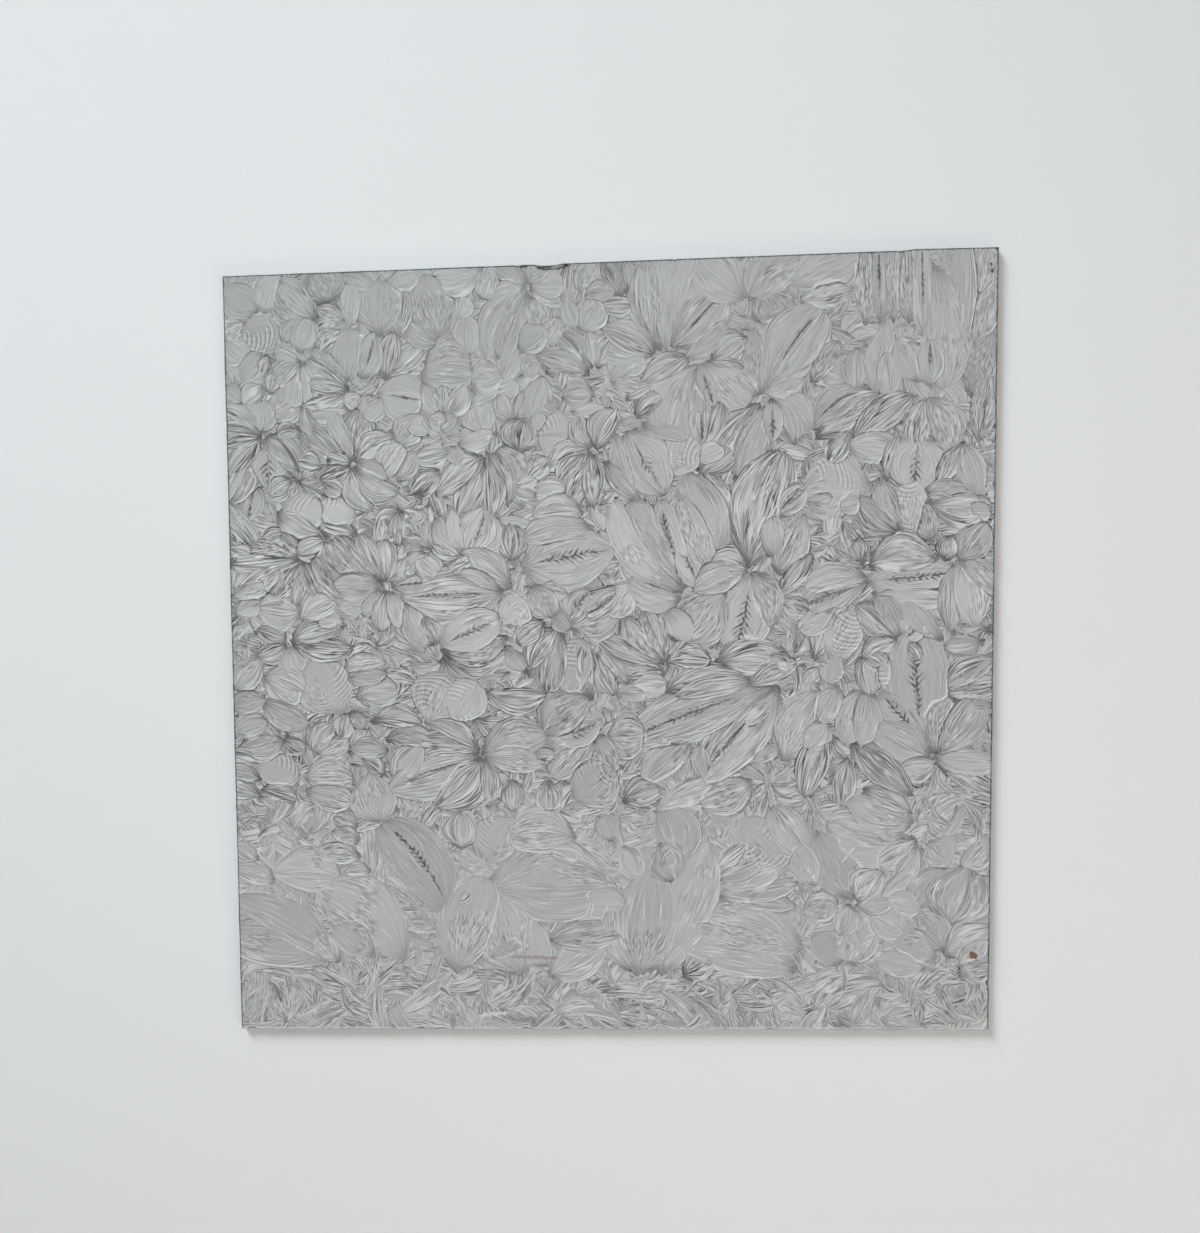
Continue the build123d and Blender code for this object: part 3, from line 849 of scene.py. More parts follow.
# %% Flakes and the nick
TOP_FLAKES = [(116.5, 2.4, 0.6, 0.7), (178.0, 1.8, 0.4, 0.6), (264.5, 2.6, 0.5, 0.8)]
BOTTOM_FLAKES = [(4.5, 4.0, 0.9, 1.1), (73.0, 5.0, 0.8, 0.9), (81.5, 3.6, 0.6, 0.7), (115.0, 4.0, 0.8, 1.0),
                 (131.5, 4.4, 0.7, 0.8), (139.0, 3.2, 0.9, 1.0), (212.0, 2.6, 0.5, 0.6)]
RIGHT_FLAKES = [(16.5, 2.0, 0.6, 0.7), (19.0, 2.6, 1.0, 1.2), (247.0, 1.8, 0.5, 0.6)]
LEFT_FLAKES = [(58.0, 2.2, 0.4, 0.6), (206.0, 1.8, 0.4, 0.5)]
NICK = (128.5, 11.0, 2.0, 2.6)
BEND_REACH = 9.0


def on_edge(edge, place):
    """Start point and inward direction of a break that lies a given way along an edge."""
    if edge == "top":
        return (LEFT + place, float(top_edge(LEFT + place))), (0.0, -1.0)
    if edge == "bottom":
        return (LEFT + place, BOTTOM), (0.0, 1.0)
    if edge == "right":
        return (float(right_edge(BOTTOM + place)), BOTTOM + place), (-1.0, 0.0)
    return (LEFT, TOP - LEFT_FALL - place), (1.0, 0.0)


def scoop(length, bite, depth):
    """Radius, stand-off from the edge and lift above the face of the ball that cuts a scoop.

    On the face the ball shows as an arc through both ends of the scoop and its deepest point. At the given
    depth below the face it only touches the edge.
    """
    face_radius = (length**2 / 4 + bite**2) / (2 * bite)
    stand_off = face_radius - bite
    lift = (face_radius**2 - stand_off**2 - depth**2) / (2 * depth)
    return math.hypot(face_radius, lift), stand_off, lift


breaks = []
for edge, flakes in (("top", [NICK, *TOP_FLAKES]), ("bottom", BOTTOM_FLAKES), ("right", RIGHT_FLAKES),
                     ("left", LEFT_FLAKES)):
    breaks += [(*on_edge(edge, place), length, scoop(length, bite, depth))
               for place, length, bite, depth in flakes]


def bitten(x, y, z):
    """Moves points inwards out of every scoop, fully on the wall and less with the distance from it."""
    for (edge_x, edge_y), (in_x, in_y), length, (radius, stand_off, lift) in breaks:
        along = (x - edge_x) * in_y - (y - edge_y) * in_x
        inwards = (x - edge_x) * in_x + (y - edge_y) * in_y
        level = radius**2 - (FACE + lift - z) ** 2 - along**2
        bite = np.maximum(np.sqrt(np.maximum(level, 0)) - stand_off, 0)
        near = (np.abs(along) < length) & (inwards > -1) & (inwards < BEND_REACH)
        bite = np.where(near, bite * np.clip(1 - inwards / BEND_REACH, 0, 1) ** 2, 0)
        x, y = x + bite * in_x, y + bite * in_y
    return x, y


print("breaks in the edges:", len(breaks))

# %% The outline, point by point
ARRIS_DROPS = (0.12, 0.42)
ARRIS_KNOTS = 160
WAVER = 0.12


def rim_walk():
    """Row and column of every grid point round the edge, anticlockwise from the lower left corner."""
    bottom = [(0, j) for j in range(COLUMNS)]
    right = [(i, COLUMNS) for i in range(ROWS)]
    top = [(ROWS, j) for j in range(COLUMNS, 0, -1)]
    left = [(i, 0) for i in range(ROWS, 0, -1)]
    return np.array(bottom + right + top + left).T


def ragged(low, high):
    """A value for every rim point that wanders between low and high, closed round the edge."""
    knots = rng.uniform(low, high, ARRIS_KNOTS)
    knots = np.append(knots, knots[0])
    return np.interp(np.arange(rim_count), np.linspace(0, rim_count, ARRIS_KNOTS + 1), knots)


rim_row, rim_column = rim_walk()
rim = number[rim_row, rim_column]
rim_count = len(rim)
outline_x, outline_y = sheet_point(rim_column / COLUMNS, rim_row / ROWS, 0.0)
waver = ragged(0.0, WAVER)
waver_x, waver_y = waver * -np.sign(outline_x), waver * -np.sign(outline_y)
on_side = np.isin(rim_column, (0, COLUMNS))
on_end = np.isin(rim_row, (0, ROWS))
rim_height = FACE + surface["height"][rim_row, rim_column]
wall_top = rim_height - ragged(*ARRIS_DROPS)
wall_foot = np.full(rim_count, BACK + ARRIS)
print("points round the edge:", rim_count)

# %% Walls and back
WALL_SHARES = (0.8, 0.6, 0.4, 0.2)


def wall_ring(height, bulge):
    """One ring of wall points at the given heights, drawn in by the waver and by the scoops."""
    x = outline_x + np.where(on_side, waver_x, 0) * bulge
    y = outline_y + np.where(on_end, waver_y, 0) * bulge
    return np.c_[*bitten(x, y, height), height]


rings = [wall_ring(wall_top, 0.0)]
rings += [wall_ring(wall_foot + share * (wall_top - wall_foot), 1.0) for share in WALL_SHARES]
rings.append(wall_ring(wall_foot, 0.0))
inner_x, inner_y = sheet_point(rim_column / COLUMNS, rim_row / ROWS, ARRIS)
rings.append(np.c_[*bitten(inner_x, inner_y, np.full(rim_count, BACK)), np.full(rim_count, BACK)])
relief_x, relief_y = bitten(slid_x, slid_y, FACE)
relief_points = np.c_[relief_x.ravel(), relief_y.ravel(), FACE + surface["height"].ravel()]
points = np.concatenate([relief_points, *rings])


def wall_band(k):
    """Quads between ring k and the ring above it, where ring 0 hangs from the edge of the relief."""
    lower_ring = len(relief_points) + k * rim_count + np.arange(rim_count)
    upper_ring = rim if k == 0 else lower_ring - rim_count
    return np.c_[upper_ring, lower_ring, np.roll(lower_ring, -1), np.roll(upper_ring, -1)]


wall_quads = np.concatenate([wall_band(k) for k in range(len(rings))])
back_face = len(relief_points) + (len(rings) - 1) * rim_count + np.arange(rim_count)[::-1]
print("wall rings:", len(rings), "of", rim_count, "points")

# %% The mesh
faces = relief_triangles.tolist() + wall_quads.tolist() + [back_face.tolist()]
mesh = bpy.data.meshes.new("chipped_pane")
mesh.from_pydata((points * MM).tolist(), [], faces)
mesh.update()
mesh.shade_smooth()
pane = bpy.data.objects.new("chipped_pane", mesh)
bpy.context.collection.objects.link(pane)
relief_corners = relief_triangles.size
all_corners = len(mesh.loops)
print("faces:", len(faces), "triangles:", len(relief_triangles) + 2 * len(wall_quads) + rim_count - 2)

# %% [markdown]
# ## What each corner knows
#
# The shader draws strokes, ferns and crest lines where the petals put them, so every face corner carries
# its petal's pattern, worked out here once. A corner belongs to one face, so two petals that meet on a
# crest can each have their own values there, and nothing smears across the line. The numbers change slowly
# from corner to corner, such as how far away the midrib is, and the shader turns them into fine lines.
#
# A petal narrows towards its base, so the distance from the midrib is divided by how wide the petal is
# there. Lines that keep this distance then run together at the base, as the ribs of a real chip do.

# %% Corner attributes and drifting noise
SCATTER_TURNS = (127.1, 311.7, 74.7)
SCATTER_GAIN = 43758.5


def corner_attribute(name, values, elsewhere=(0.0, 0.0, 0.0)):
    """Stores a vector on every face corner: worked-out values on the relief, one value elsewhere."""
    full = np.tile(elsewhere, (all_corners, 1))
    full[:relief_corners] = values
    mesh.attributes.new(name, "FLOAT_VECTOR", "CORNER").data.foreach_set("vector", full.ravel())


def scatter(a, b, seed):
    """A number from 0 to 1 for whole a and b that looks random: the tail of a large sine."""
    turn_a, turn_b, turn_seed = SCATTER_TURNS
    return np.modf(np.abs(np.sin(a * turn_a + b * turn_b + seed * turn_seed) * SCATTER_GAIN))[0]


def drift(a, b, seed):
    """Smooth noise from 0 to 1: random numbers at whole a and b, blended by 3t squared minus 2t cubed."""
    low_a, low_b = np.floor(a), np.floor(b)
    share_a, share_b = a - low_a, b - low_b
    share_a, share_b = (share * share * (3 - 2 * share) for share in (share_a, share_b))
    near = scatter(low_a, low_b, seed) * (1 - share_a) + scatter(low_a + 1, low_b, seed) * share_a
    far = scatter(low_a, low_b + 1, seed) * (1 - share_a) + scatter(low_a + 1, low_b + 1, seed) * share_a
    return near * (1 - share_b) + far * share_b


def smooth_step(value, start, end):
    """0 before start, 1 after end, and 3t squared minus 2t cubed between them."""
    share = np.clip((value - start) / (end - start), 0, 1)
    return share * share * (3 - 2 * share)


print("the noise at one place:", round(float(drift(0.5, 0.5, 1.0)), 2))

# %% Where each corner is in its petal
BARE_TURN = (0.5, 0.87)
PAST_SIDE = 1.3
SEEDS = 900
corner_point = relief_triangles.ravel()
corner_x, corner_y = slid_x.ravel()[corner_point], slid_y.ravel()[corner_point]
corner_petal = np.repeat(relief_owner, 3)
held_petal = np.maximum(corner_petal, 0)
bare = corner_petal < 0
u, v, half_width = petal_coordinates(held_petal, corner_x, corner_y)
v, u = np.clip(v, -PAST_SIDE, PAST_SIDE), np.clip(u, 0, 1)


def of_petal(field):
    """A field of each corner's petal, or 0 on bare face."""
    return np.where(bare, 0.0, P[field][held_petal])


across = np.where(bare, BARE_TURN[0] * corner_x + BARE_TURN[1] * corner_y, v * of_petal("width") / 2)
along = np.where(bare, BARE_TURN[0] * corner_y - BARE_TURN[1] * corner_x, u * of_petal("length"))
seed = np.round(of_petal("seed") * SEEDS)
print("corners on bare face:", int(bare.sum()), "of", len(bare))

# %% Distance to two crests that stay firm all along
FIRM_CURVES = [
    [(971, 249), (972, 287), (969, 322)],
    [(871, 253), (860, 264), (844, 275), (820, 282)],
]
FIRM_NEAR = 3.0
FIRM_STRENGTH = 1.5


def to_curve(pixels):
    """The distance in mm from each corner to a bent line through a few picture pixels."""
    points = on_pane(np.array(pixels, float))
    nearest = np.full(len(corner_x), np.inf)
    for start, end in zip(points[:-1], points[1:]):
        run = end - start
        along_run = (corner_x - start[0]) * run[0] + (corner_y - start[1]) * run[1]
        share = np.clip(along_run / (run @ run), 0, 1)
        gap = np.hypot(corner_x - start[0] - share * run[0], corner_y - start[1] - share * run[1])
        nearest = np.minimum(nearest, gap)
    return nearest


firm = np.minimum.reduce([to_curve(curve) for curve in FIRM_CURVES]) < FIRM_NEAR
print("corners by the firm crests:", int(firm.sum()))

# %% Strokes and frost at the corners
NARROWEST = 0.3
BARE_WANDER, BARE_PATCH, BARE_RIBS = 14, 11, 0.5
BASE_RIM, TIP_RIM = (0.05, 0.4), (0.8, 1.0)
WISP_WIDTH, WISP_LENGTH, WISP_LEVELS = 3.5, 14, (0.45, 0.75)
FROST_PATCH, FROST_CLEARING, FROST_LEVELS = 9.0, 2.2, (0.5, 0.72)
PATCH_SHARE, FROST_STRENGTH = 0.75, 0.7
CALM_BAND = (-132, -122, -90, -55)    # smooth chips with thin painted highlights on their rims lie between the inner two
PLAIN_STROKES = (0.34, 0.22)          # strength of the strokes, and how much less it is in the calm band
RIM_STROKES = (0.66, 0.24)            # the same for what rims and wisps add
widening = 2 * half_width / np.maximum(of_petal("width"), 1e-6)
spread = across / np.where(u < widest_at(held_petal), np.clip(widening, NARROWEST, 1), 1.0)
spread = spread + np.where(bare, BARE_WANDER * drift(corner_x / BARE_PATCH, corner_y / BARE_PATCH, 4.0), 0)
rims = np.maximum.reduce([np.abs(v) ** 3, 1 - smooth_step(u, *BASE_RIM), smooth_step(u, *TIP_RIM)])
wisps = smooth_step(drift(spread / WISP_WIDTH, along / WISP_LENGTH, seed), *WISP_LEVELS)
calm = smooth_step(corner_y, *CALM_BAND[:2]) * smooth_step(corner_y, *CALM_BAND[:1:-1])
plain, added = (strength - less * calm for strength, less in (PLAIN_STROKES, RIM_STROKES))
stroke_strength = plain + added * np.maximum(rims, wisps)
stroke_strength = stroke_strength * np.where(bare, BARE_RIBS, of_petal("ribs"))
patches = drift(corner_x / FROST_PATCH, corner_y / FROST_PATCH, 5.0)
clearings = drift(corner_x / FROST_CLEARING, corner_y / FROST_CLEARING, 9.0)
mottled = PATCH_SHARE * patches + (1 - PATCH_SHARE) * clearings
frosted = np.maximum(of_petal("crumple"), FROST_STRENGTH * smooth_step(mottled, *FROST_LEVELS))
frosted = np.where(of_petal("fern") > 0.5, 0.0, frosted)
print("mean strength of strokes and frost:", round(float(stroke_strength.mean()), 2),
      round(float(frosted.mean()), 2))

# %% Ferns and crests at the corners
FERN_HALF = 4.6
FERN_STARTS, FERN_ENDS = (0.08, 0.6), (0.78, 0.92)
FERN_SHARE = 0.8                      # the part of the half width that a fern may fill
CREST_PATCH, CREST_LEVELS, CREST_LEAST = 6, (0.25, 0.75), 0.15
SHARP_FROM, FULL_WIDTH = (0.0, 0.15), (0.6, 4.0)
SMALL_CRESTS = 0.6
fern_reach = of_petal("fern") * FERN_HALF * smooth_step(u, *FERN_STARTS) * (1 - smooth_step(u, *FERN_ENDS))
fern_reach = np.minimum(fern_reach, FERN_SHARE * half_width)
small = (held_petal >= big_count) & (surface["runner"].ravel()[corner_point] >= big_count)
whole = smooth_step(drift(corner_x / CREST_PATCH, corner_y / CREST_PATCH, 2.0), *CREST_LEVELS)
broken = CREST_LEAST + (1 - CREST_LEAST) * whole
crest_strength = smooth_step(crest_sharpness.ravel()[corner_point], *SHARP_FROM) * broken
crest_strength = crest_strength * smooth_step(half_width, *FULL_WIDTH) * np.where(small, SMALL_CRESTS, 1.0)
crest_strength = np.where(firm, FIRM_STRENGTH, crest_strength)
print("corners with ferns:", round(float((fern_reach > np.abs(across)).mean()), 2))

# %% Store what the corners know
SOFT_TOP = (110, 65)
SOFTEST = 0.65
# The hairs and crests are painted partly with shade and partly with highlight; towards the bottom the painted
# highlight gets the larger share
MORE_HIGHLIGHT_BELOW, HIGHLIGHT_LEAST, HIGHLIGHT_RANGE = (-30, -80), 0.45, 0.45
BARE_TONE = 0.5
PAINTED_LIGHT_FROM = (-0.5, 0.87)              # the direction that the painted light comes from, which a groove's painted highlight faces
petal_tone = np.where(bare, BARE_TONE, scatter(seed, 3.0, 1.0))
bold = SOFTEST + (1 - SOFTEST) * smooth_step(corner_y, *SOFT_TOP)
painted_highlight_share = HIGHLIGHT_LEAST + HIGHLIGHT_RANGE * smooth_step(corner_y, *MORE_HIGHLIGHT_BELOW)
# lean: how far the petal's left side faces the painted light from the top left, -1 to 1
lean = PAINTED_LIGHT_FROM[1] * of_petal("run_x") - PAINTED_LIGHT_FROM[0] * of_petal("run_y")
to_outline = np.minimum.reduce([top_edge(corner_x) - corner_y, corner_x - LEFT,
                                right_edge(corner_y) - corner_x])

corner_attribute("grain", np.c_[spread, along, seed])
corner_attribute("finish", np.c_[stroke_strength * bold, of_petal("rings"), frosted * bold])
corner_attribute("fern", np.c_[fern_reach * bold ** 2, across, petal_tone])
corner_attribute("crest", np.c_[crest_away.ravel()[corner_point], crest_strength * bold, lean],
                 elsewhere=(FAR_FROM_CREST, 0.0, 0.0))
corner_attribute("edges", np.c_[to_outline, corner_y - BOTTOM, painted_highlight_share],
                 elsewhere=(FAR_FROM_CREST, FAR_FROM_CREST, 0.0))
print("attributes:", [item.name for item in mesh.attributes if item.domain == "CORNER"])

# %% Unwrapped places
MARGIN = 0.004
FACE_FLOOR = 0.07
STRIP_STEP = 0.015
STRIP_WIDTH = 0.011
STRIP_START = 0.06
BACK_SIZE = 0.045


def face_places():
    """The relief fills the square above the strips: shares across and up the pane."""
    across = (relief_points[:, 0] - LEFT) / (RIGHT - LEFT)
    up = (relief_points[:, 1] - BOTTOM) / (TOP - BOTTOM)
    places = np.c_[MARGIN + across * (1 - 2 * MARGIN), FACE_FLOOR + up * (1 - MARGIN - FACE_FLOOR)]
    return places[corner_point]


def wall_places():
    """Each of the four walls is one strip under the face, as long as the square and a finger wide."""
    side = (np.cumsum([0, COLUMNS, ROWS, COLUMNS])[:, None] <= np.arange(rim_count)).sum(axis=0) - 1
    start = np.array([0, COLUMNS, COLUMNS + ROWS, 2 * COLUMNS + ROWS])[side]
    span = np.array([COLUMNS, ROWS, COLUMNS, ROWS])[side]
    near = STRIP_START + (np.arange(rim_count) - start) / span * (1 - MARGIN - STRIP_START)
    far = near + (1 - MARGIN - STRIP_START) / span
    bands = []
    for k in range(len(rings)):
        high = MARGIN + side * STRIP_STEP + STRIP_WIDTH * (1 - k / len(rings))
        low = high - STRIP_WIDTH / len(rings)
        bands.append(np.stack([near, high, near, low, far, low, far, high], axis=-1).reshape(-1, 2))
    return np.concatenate(bands)


back_x, back_y = points[back_face, 0], points[back_face, 1]
back_places = np.c_[MARGIN + (RIGHT - back_x) / (RIGHT - LEFT) * BACK_SIZE,
                    MARGIN + (back_y - BOTTOM) / (TOP - BOTTOM) * BACK_SIZE]
bake_map = mesh.uv_layers.new(name="OFBake")
bake_map.data.foreach_set("uv", np.concatenate([face_places(), wall_places(), back_places]).ravel())
print("unwrapped corners:", len(bake_map.data))

# %% Sharp edges
def mark_sharp_edges(crest_angle=6.0, edge_angle=35.0):
    """Marks an edge sharp where two petals meet at an angle, or where any two faces meet steeply."""
    loop_edge = np.empty(all_corners, int)
    mesh.loops.foreach_get("edge_index", loop_edge)
    loop_total = np.empty(len(mesh.polygons), int)
    mesh.polygons.foreach_get("loop_total", loop_total)
    loop_face = np.repeat(np.arange(len(mesh.polygons)), loop_total)
    order = np.argsort(loop_edge, kind="stable")
    edge, face = loop_edge[order][::2], loop_face[order]
    one, two = face[::2], face[1::2]
    normal = np.empty(len(mesh.polygons) * 3)
    mesh.polygons.foreach_get("normal", normal)
    normal = normal.reshape(-1, 3)
    turn = np.degrees(np.arccos(np.clip((normal[one] * normal[two]).sum(axis=1), -1, 1)))
    petal = np.full(len(mesh.polygons), -2)
    petal[:len(relief_owner)] = relief_owner
    sharp = (turn > edge_angle) | ((petal[one] != petal[two]) & (turn > crest_angle))
    flags = np.zeros(len(mesh.edges), bool)
    flags[edge] = sharp
    mesh.attributes.new("sharp_edge", "BOOLEAN", "EDGE").data.foreach_set("value", flags)
    return int(sharp.sum())


print("sharp edges:", mark_sharp_edges())

# %% [markdown]
# ## The glass
#
# Real glass is clear, and the chipping leaves it satin: more than half of its surface scatters light, so
# light from one side models the bowls even over a plain floor. Fine strokes run from the base of a petal
# to its tip. They come from noise that is stretched along the petal, so that a stroke is half a millimetre
# wide and several long, and their light and dark bands are painted shade and highlight of the ribs. Bolder
# hairs come in pairs, a line of painted shade and a white line of painted highlight beside it, and the
# highlight lies towards the top left in every petal, as if lit from there. A crest is such a pair too, only
# stronger. Where the glue tore the face without lifting a flake, a dark fern is left on the midrib.

# %% A helper that adds nodes, and the glass without any
def node_adder(tree):
    """Returns a function that adds a node, sets its properties and fills or links its inputs by name."""
    def add(kind, inputs=None, **settings):
        new = tree.nodes.new(kind)
        for name, value in settings.items():
            setattr(new, name, value)
        for name, value in (inputs or {}).items():
            socket = new.inputs[name]
            if isinstance(value, bpy.types.NodeSocket):
                tree.links.new(value, socket)
            else:
                socket.default_value = value
        return new
    return add


glass = bpy.data.materials.new("chipped_glass")
glass.use_nodes = True
tree = glass.node_tree
tree.nodes.clear()
add = node_adder(tree)
print("material:", glass.name)

# %% Sums, products and ramps
def maths(operation, *values):
    """One Math node: the operation's name, then its inputs."""
    return add("ShaderNodeMath", dict(enumerate(values)), operation=operation).outputs[0]


def times(*values):
    """The product of all the values."""
    product = values[0]
    for value in values[1:]:
        product = maths("MULTIPLY", product, value)
    return product


def plus(*values):
    """The sum of all the values."""
    total = values[0]
    for value in values[1:]:
        total = maths("ADD", total, value)
    return total


def ramp(value, start, end, low=0.0, high=1.0):
    """Goes smoothly from low to high while value goes from start to end."""
    return add("ShaderNodeMapRange", {"Value": value, "From Min": start, "From Max": end, "To Min": low,
                                      "To Max": high}, interpolation_type="SMOOTHSTEP").outputs[0]


print("nodes so far:", len(tree.nodes))

# %% What the corners know, and patterns made from it
def split(name):
    """The three numbers of a corner attribute."""
    vector = add("ShaderNodeAttribute", attribute_name=name).outputs["Vector"]
    return add("ShaderNodeSeparateXYZ", {0: vector}).outputs


def blend(share, first, second):
    """A colour that goes from first to second with the share."""
    return add("ShaderNodeMix", {0: share, 6: first, 7: second}, data_type="RGBA").outputs[2]


def ridges(phase):
    """A row of ridges, one for each whole number of phase: a zigzag from 0 to 1."""
    return times(maths("PINGPONG", phase, 0.5), 2.0)


def dice(index, salt):
    """A random number for each whole index and petal."""
    vector = add("ShaderNodeCombineXYZ", {0: index, 1: petal_seed, 2: salt}).outputs[0]
    return add("ShaderNodeTexWhiteNoise", {"Vector": vector}, noise_dimensions="3D").outputs["Value"]


def plain_noise(vector, scale):
    """Noise of one size only, about 0.5."""
    return add("ShaderNodeTexNoise", {"Vector": vector, "Scale": scale, "Detail": 0.0}).outputs[0]


def swing(vector, scale, gain):
    """Noise about 0 instead of 0.5, raised by gain and held between -1 and 1."""
    raised = times(plus(plain_noise(vector, scale), -0.5), gain)
    return maths("MAXIMUM", maths("MINIMUM", raised, 1.0), -1.0)


GRAIN_SCALE = 800.0
spread_mm, along_mm, petal_seed = split("grain")
stroked, ringed, frosted = split("finish")
fern_mm, across_mm, petal_tone = split("fern")
crest_mm, crest_strength, lean = split("crest")
outline_mm, bottom_mm, painted_highlight_share = split("edges")
place = add("ShaderNodeTexCoord").outputs["Object"]
grains = plain_noise(place, GRAIN_SCALE)
side_mm = maths("ABSOLUTE", across_mm)
print("nodes for what the corners know:", len(tree.nodes))

# %% Strokes from base to tip
STROKE_WIDTH, STROKE_LENGTH, STROKE_GAIN = 0.6, 10.0, 8.0
FLECK_WIDTH, FLECK_LENGTH, FLECK_GAIN = 0.45, 2.6, 8.0
HAIR_WIDTH, HAIR_LENGTH, HAIR_GAIN = 1.7, 18.0, 7.0
HAIR_EDGE = (0.42, 0.05)        # a line fades out at the first distance and is full at the second
PAINTED_HIGHLIGHT_LEVEL = 0.62
COARSE_LEAST, COARSE_RANGE = 0.7, 0.6
RING_STEP, RING_ROUND, RING_SWAY = 1.8, 0.03, 0.4
RING_NOISE_SCALE, RING_NOISE_GAIN = 130.0, 3.0
RING_GAPS, RING_EDGE, RING_LIP = (-0.2, 0.4), (0.5, 0.9), 0.3
SEED_STEP = 0.73


def in_petal(width, length):
    """A place in the petal's own grain, where one unit is width across it and length along it."""
    return add("ShaderNodeCombineXYZ", {
        0: maths("DIVIDE", spread_mm, width),
        1: maths("DIVIDE", along_mm, length),
        2: times(petal_seed, SEED_STEP),
    }).outputs[0]


def hair_lines(slow, level):
    """Thin lines where slow noise passes through a level."""
    return times(ramp(maths("ABSOLUTE", maths("SUBTRACT", slow, level)), *HAIR_EDGE), stroked)


coarseness = plus(COARSE_LEAST, times(petal_tone, COARSE_RANGE))
stroke_place = in_petal(times(coarseness, STROKE_WIDTH), STROKE_LENGTH)
strokes = times(swing(stroke_place, 1.0, STROKE_GAIN), stroked)
slow = swing(in_petal(HAIR_WIDTH, HAIR_LENGTH), 1.0, HAIR_GAIN)
# Each hair is a pair: a line of painted shade, and beside it, towards the top left, a line of painted
# highlight
painted_shade_hairs, painted_highlight_hairs = hair_lines(slow, 0.0), hair_lines(slow, times(maths("SIGN", lean), PAINTED_HIGHLIGHT_LEVEL))
flecks = times(swing(in_petal(FLECK_WIDTH, FLECK_LENGTH), 1.0, FLECK_GAIN), frosted)
ring_noise = swing(place, RING_NOISE_SCALE, RING_NOISE_GAIN)
ring_phase = plus(maths("DIVIDE", plus(along_mm, times(side_mm, side_mm, -RING_ROUND)), RING_STEP),
                  times(ring_noise, RING_SWAY))
ring_gaps = times(ramp(ring_noise, *RING_GAPS), ringed)
dark_rings = times(ramp(ridges(ring_phase), *RING_EDGE), ring_gaps)
bright_rings = times(ramp(ridges(plus(ring_phase, RING_LIP)), *RING_EDGE), ring_gaps)
print("nodes with the strokes:", len(tree.nodes))

# %% Ferns on the midribs
BARB_STEP, BARB_LEAN, BARB_STAGGER = 2.3, 0.9, 0.25
BARB_SHORTEST, BARB_RANGE = 0.35, 0.8
BARB_THIN, BARB_TAPER, BARB_EDGE = 0.2, 0.8, (-0.05, 0.15)
SPINE_EDGE = (0.6, 0.25)
FERN_FADE = (0.2, 1.0)
FERN_GRAIN = (0.35, 0.6, 0.3, 1.0)
NO_LENGTH = 0.02                # keeps the share below from dividing by 0 where there is no fern


def midrib_fern():
    """A fir branch: thin barbs on both sides of the midrib, each with its own length, and the midrib."""
    phase = plus(maths("DIVIDE", maths("SUBTRACT", along_mm, times(side_mm, BARB_LEAN)), BARB_STEP),
                 times(maths("SIGN", across_mm), BARB_STAGGER))
    length = plus(times(dice(maths("FLOOR", phase), 2.0), BARB_RANGE), BARB_SHORTEST)
    share = maths("DIVIDE", side_mm, plus(times(fern_mm, length), NO_LENGTH))
    barbs = ramp(maths("SUBTRACT", ridges(phase), plus(times(share, BARB_TAPER), BARB_THIN)), *BARB_EDGE)
    spine = ramp(side_mm, *SPINE_EDGE)
    return times(maths("MAXIMUM", barbs, spine), ramp(fern_mm, *FERN_FADE), ramp(grains, *FERN_GRAIN))


fern = midrib_fern()
print("nodes with the ferns:", len(tree.nodes))

# %% Height of the fine relief
HEIGHTS = {"painted highlight hair": 0.20, "stroke": 0.16, "crest": 0.24}
LINE_FADE, RIDGE_FADE = (0.05, 0.50, 1.0, 0.0), (0.0, 1.0, 1.0, 0.0)    # from full to none, in mm
# The dark line along a crest is painted shade, and the ridge beside it is a real bump
crest_painted_shade = times(ramp(crest_mm, *LINE_FADE), crest_strength)
crest_ridge = times(ramp(crest_mm, *RIDGE_FADE), crest_strength)
height = plus(times(painted_highlight_hairs, HEIGHTS["painted highlight hair"]), times(strokes, HEIGHTS["stroke"]),
              times(crest_ridge, HEIGHTS["crest"]))
bump = add("ShaderNodeBump", {"Strength": 1.0, "Distance": MM, "Height": height})
print("nodes with the relief:", len(tree.nodes))

# %% Colour and gloss
# A tone of 1 is clear glass. A lower one is darker and a higher one whiter: on hairs, strokes and crests that
# is painted shade and painted highlight, elsewhere the glass's own pattern. These are what each detail at its
# full strength adds to the tone.
TONES = {
    "petal": 0.16, "ribbed": -0.06, "stroke": 0.56, "painted shade hair": -1.2, "painted highlight hair": 1.8, "fleck": 0.40,
    "dark ring": -0.30, "bright ring": 0.34, "fern": -0.85, "crest painted shade": -1.1, "crest painted highlight": 2.6,
    "frost": -0.08,
}
PLAIN_TONE, DARKEST, WHITEST = 0.94, 0.2, 1.4
CLEAR = (0.69, 0.686, 0.672)
HIGHLIGHT_SIDE_TURN, CREST_HIGHLIGHT_STARTS, CREST_HIGHLIGHT_ENDS = (0.3, -0.3), (0.35, 0.65), (1.15, 0.8)
# Hairs and strokes are painted stronger on petals that run across the painted light from the top left
FACING_LEAST, FACING_RANGE = 0.45, 0.65
# The white line beside a crest is painted highlight, on the side of the petal away from the top left, whose
# rim would face light from there
away_side = ramp(times(maths("SIGN", across_mm), lean), *HIGHLIGHT_SIDE_TURN)
crest_painted_highlight = times(ramp(crest_mm, *CREST_HIGHLIGHT_STARTS), ramp(crest_mm, *CREST_HIGHLIGHT_ENDS), crest_strength, away_side)
# Painted shade takes the share that painted highlight leaves
painted_shade_share = maths("SUBTRACT", 1.0, painted_highlight_share)
painted_light_facing = plus(FACING_LEAST, times(maths("ABSOLUTE", lean), FACING_RANGE))
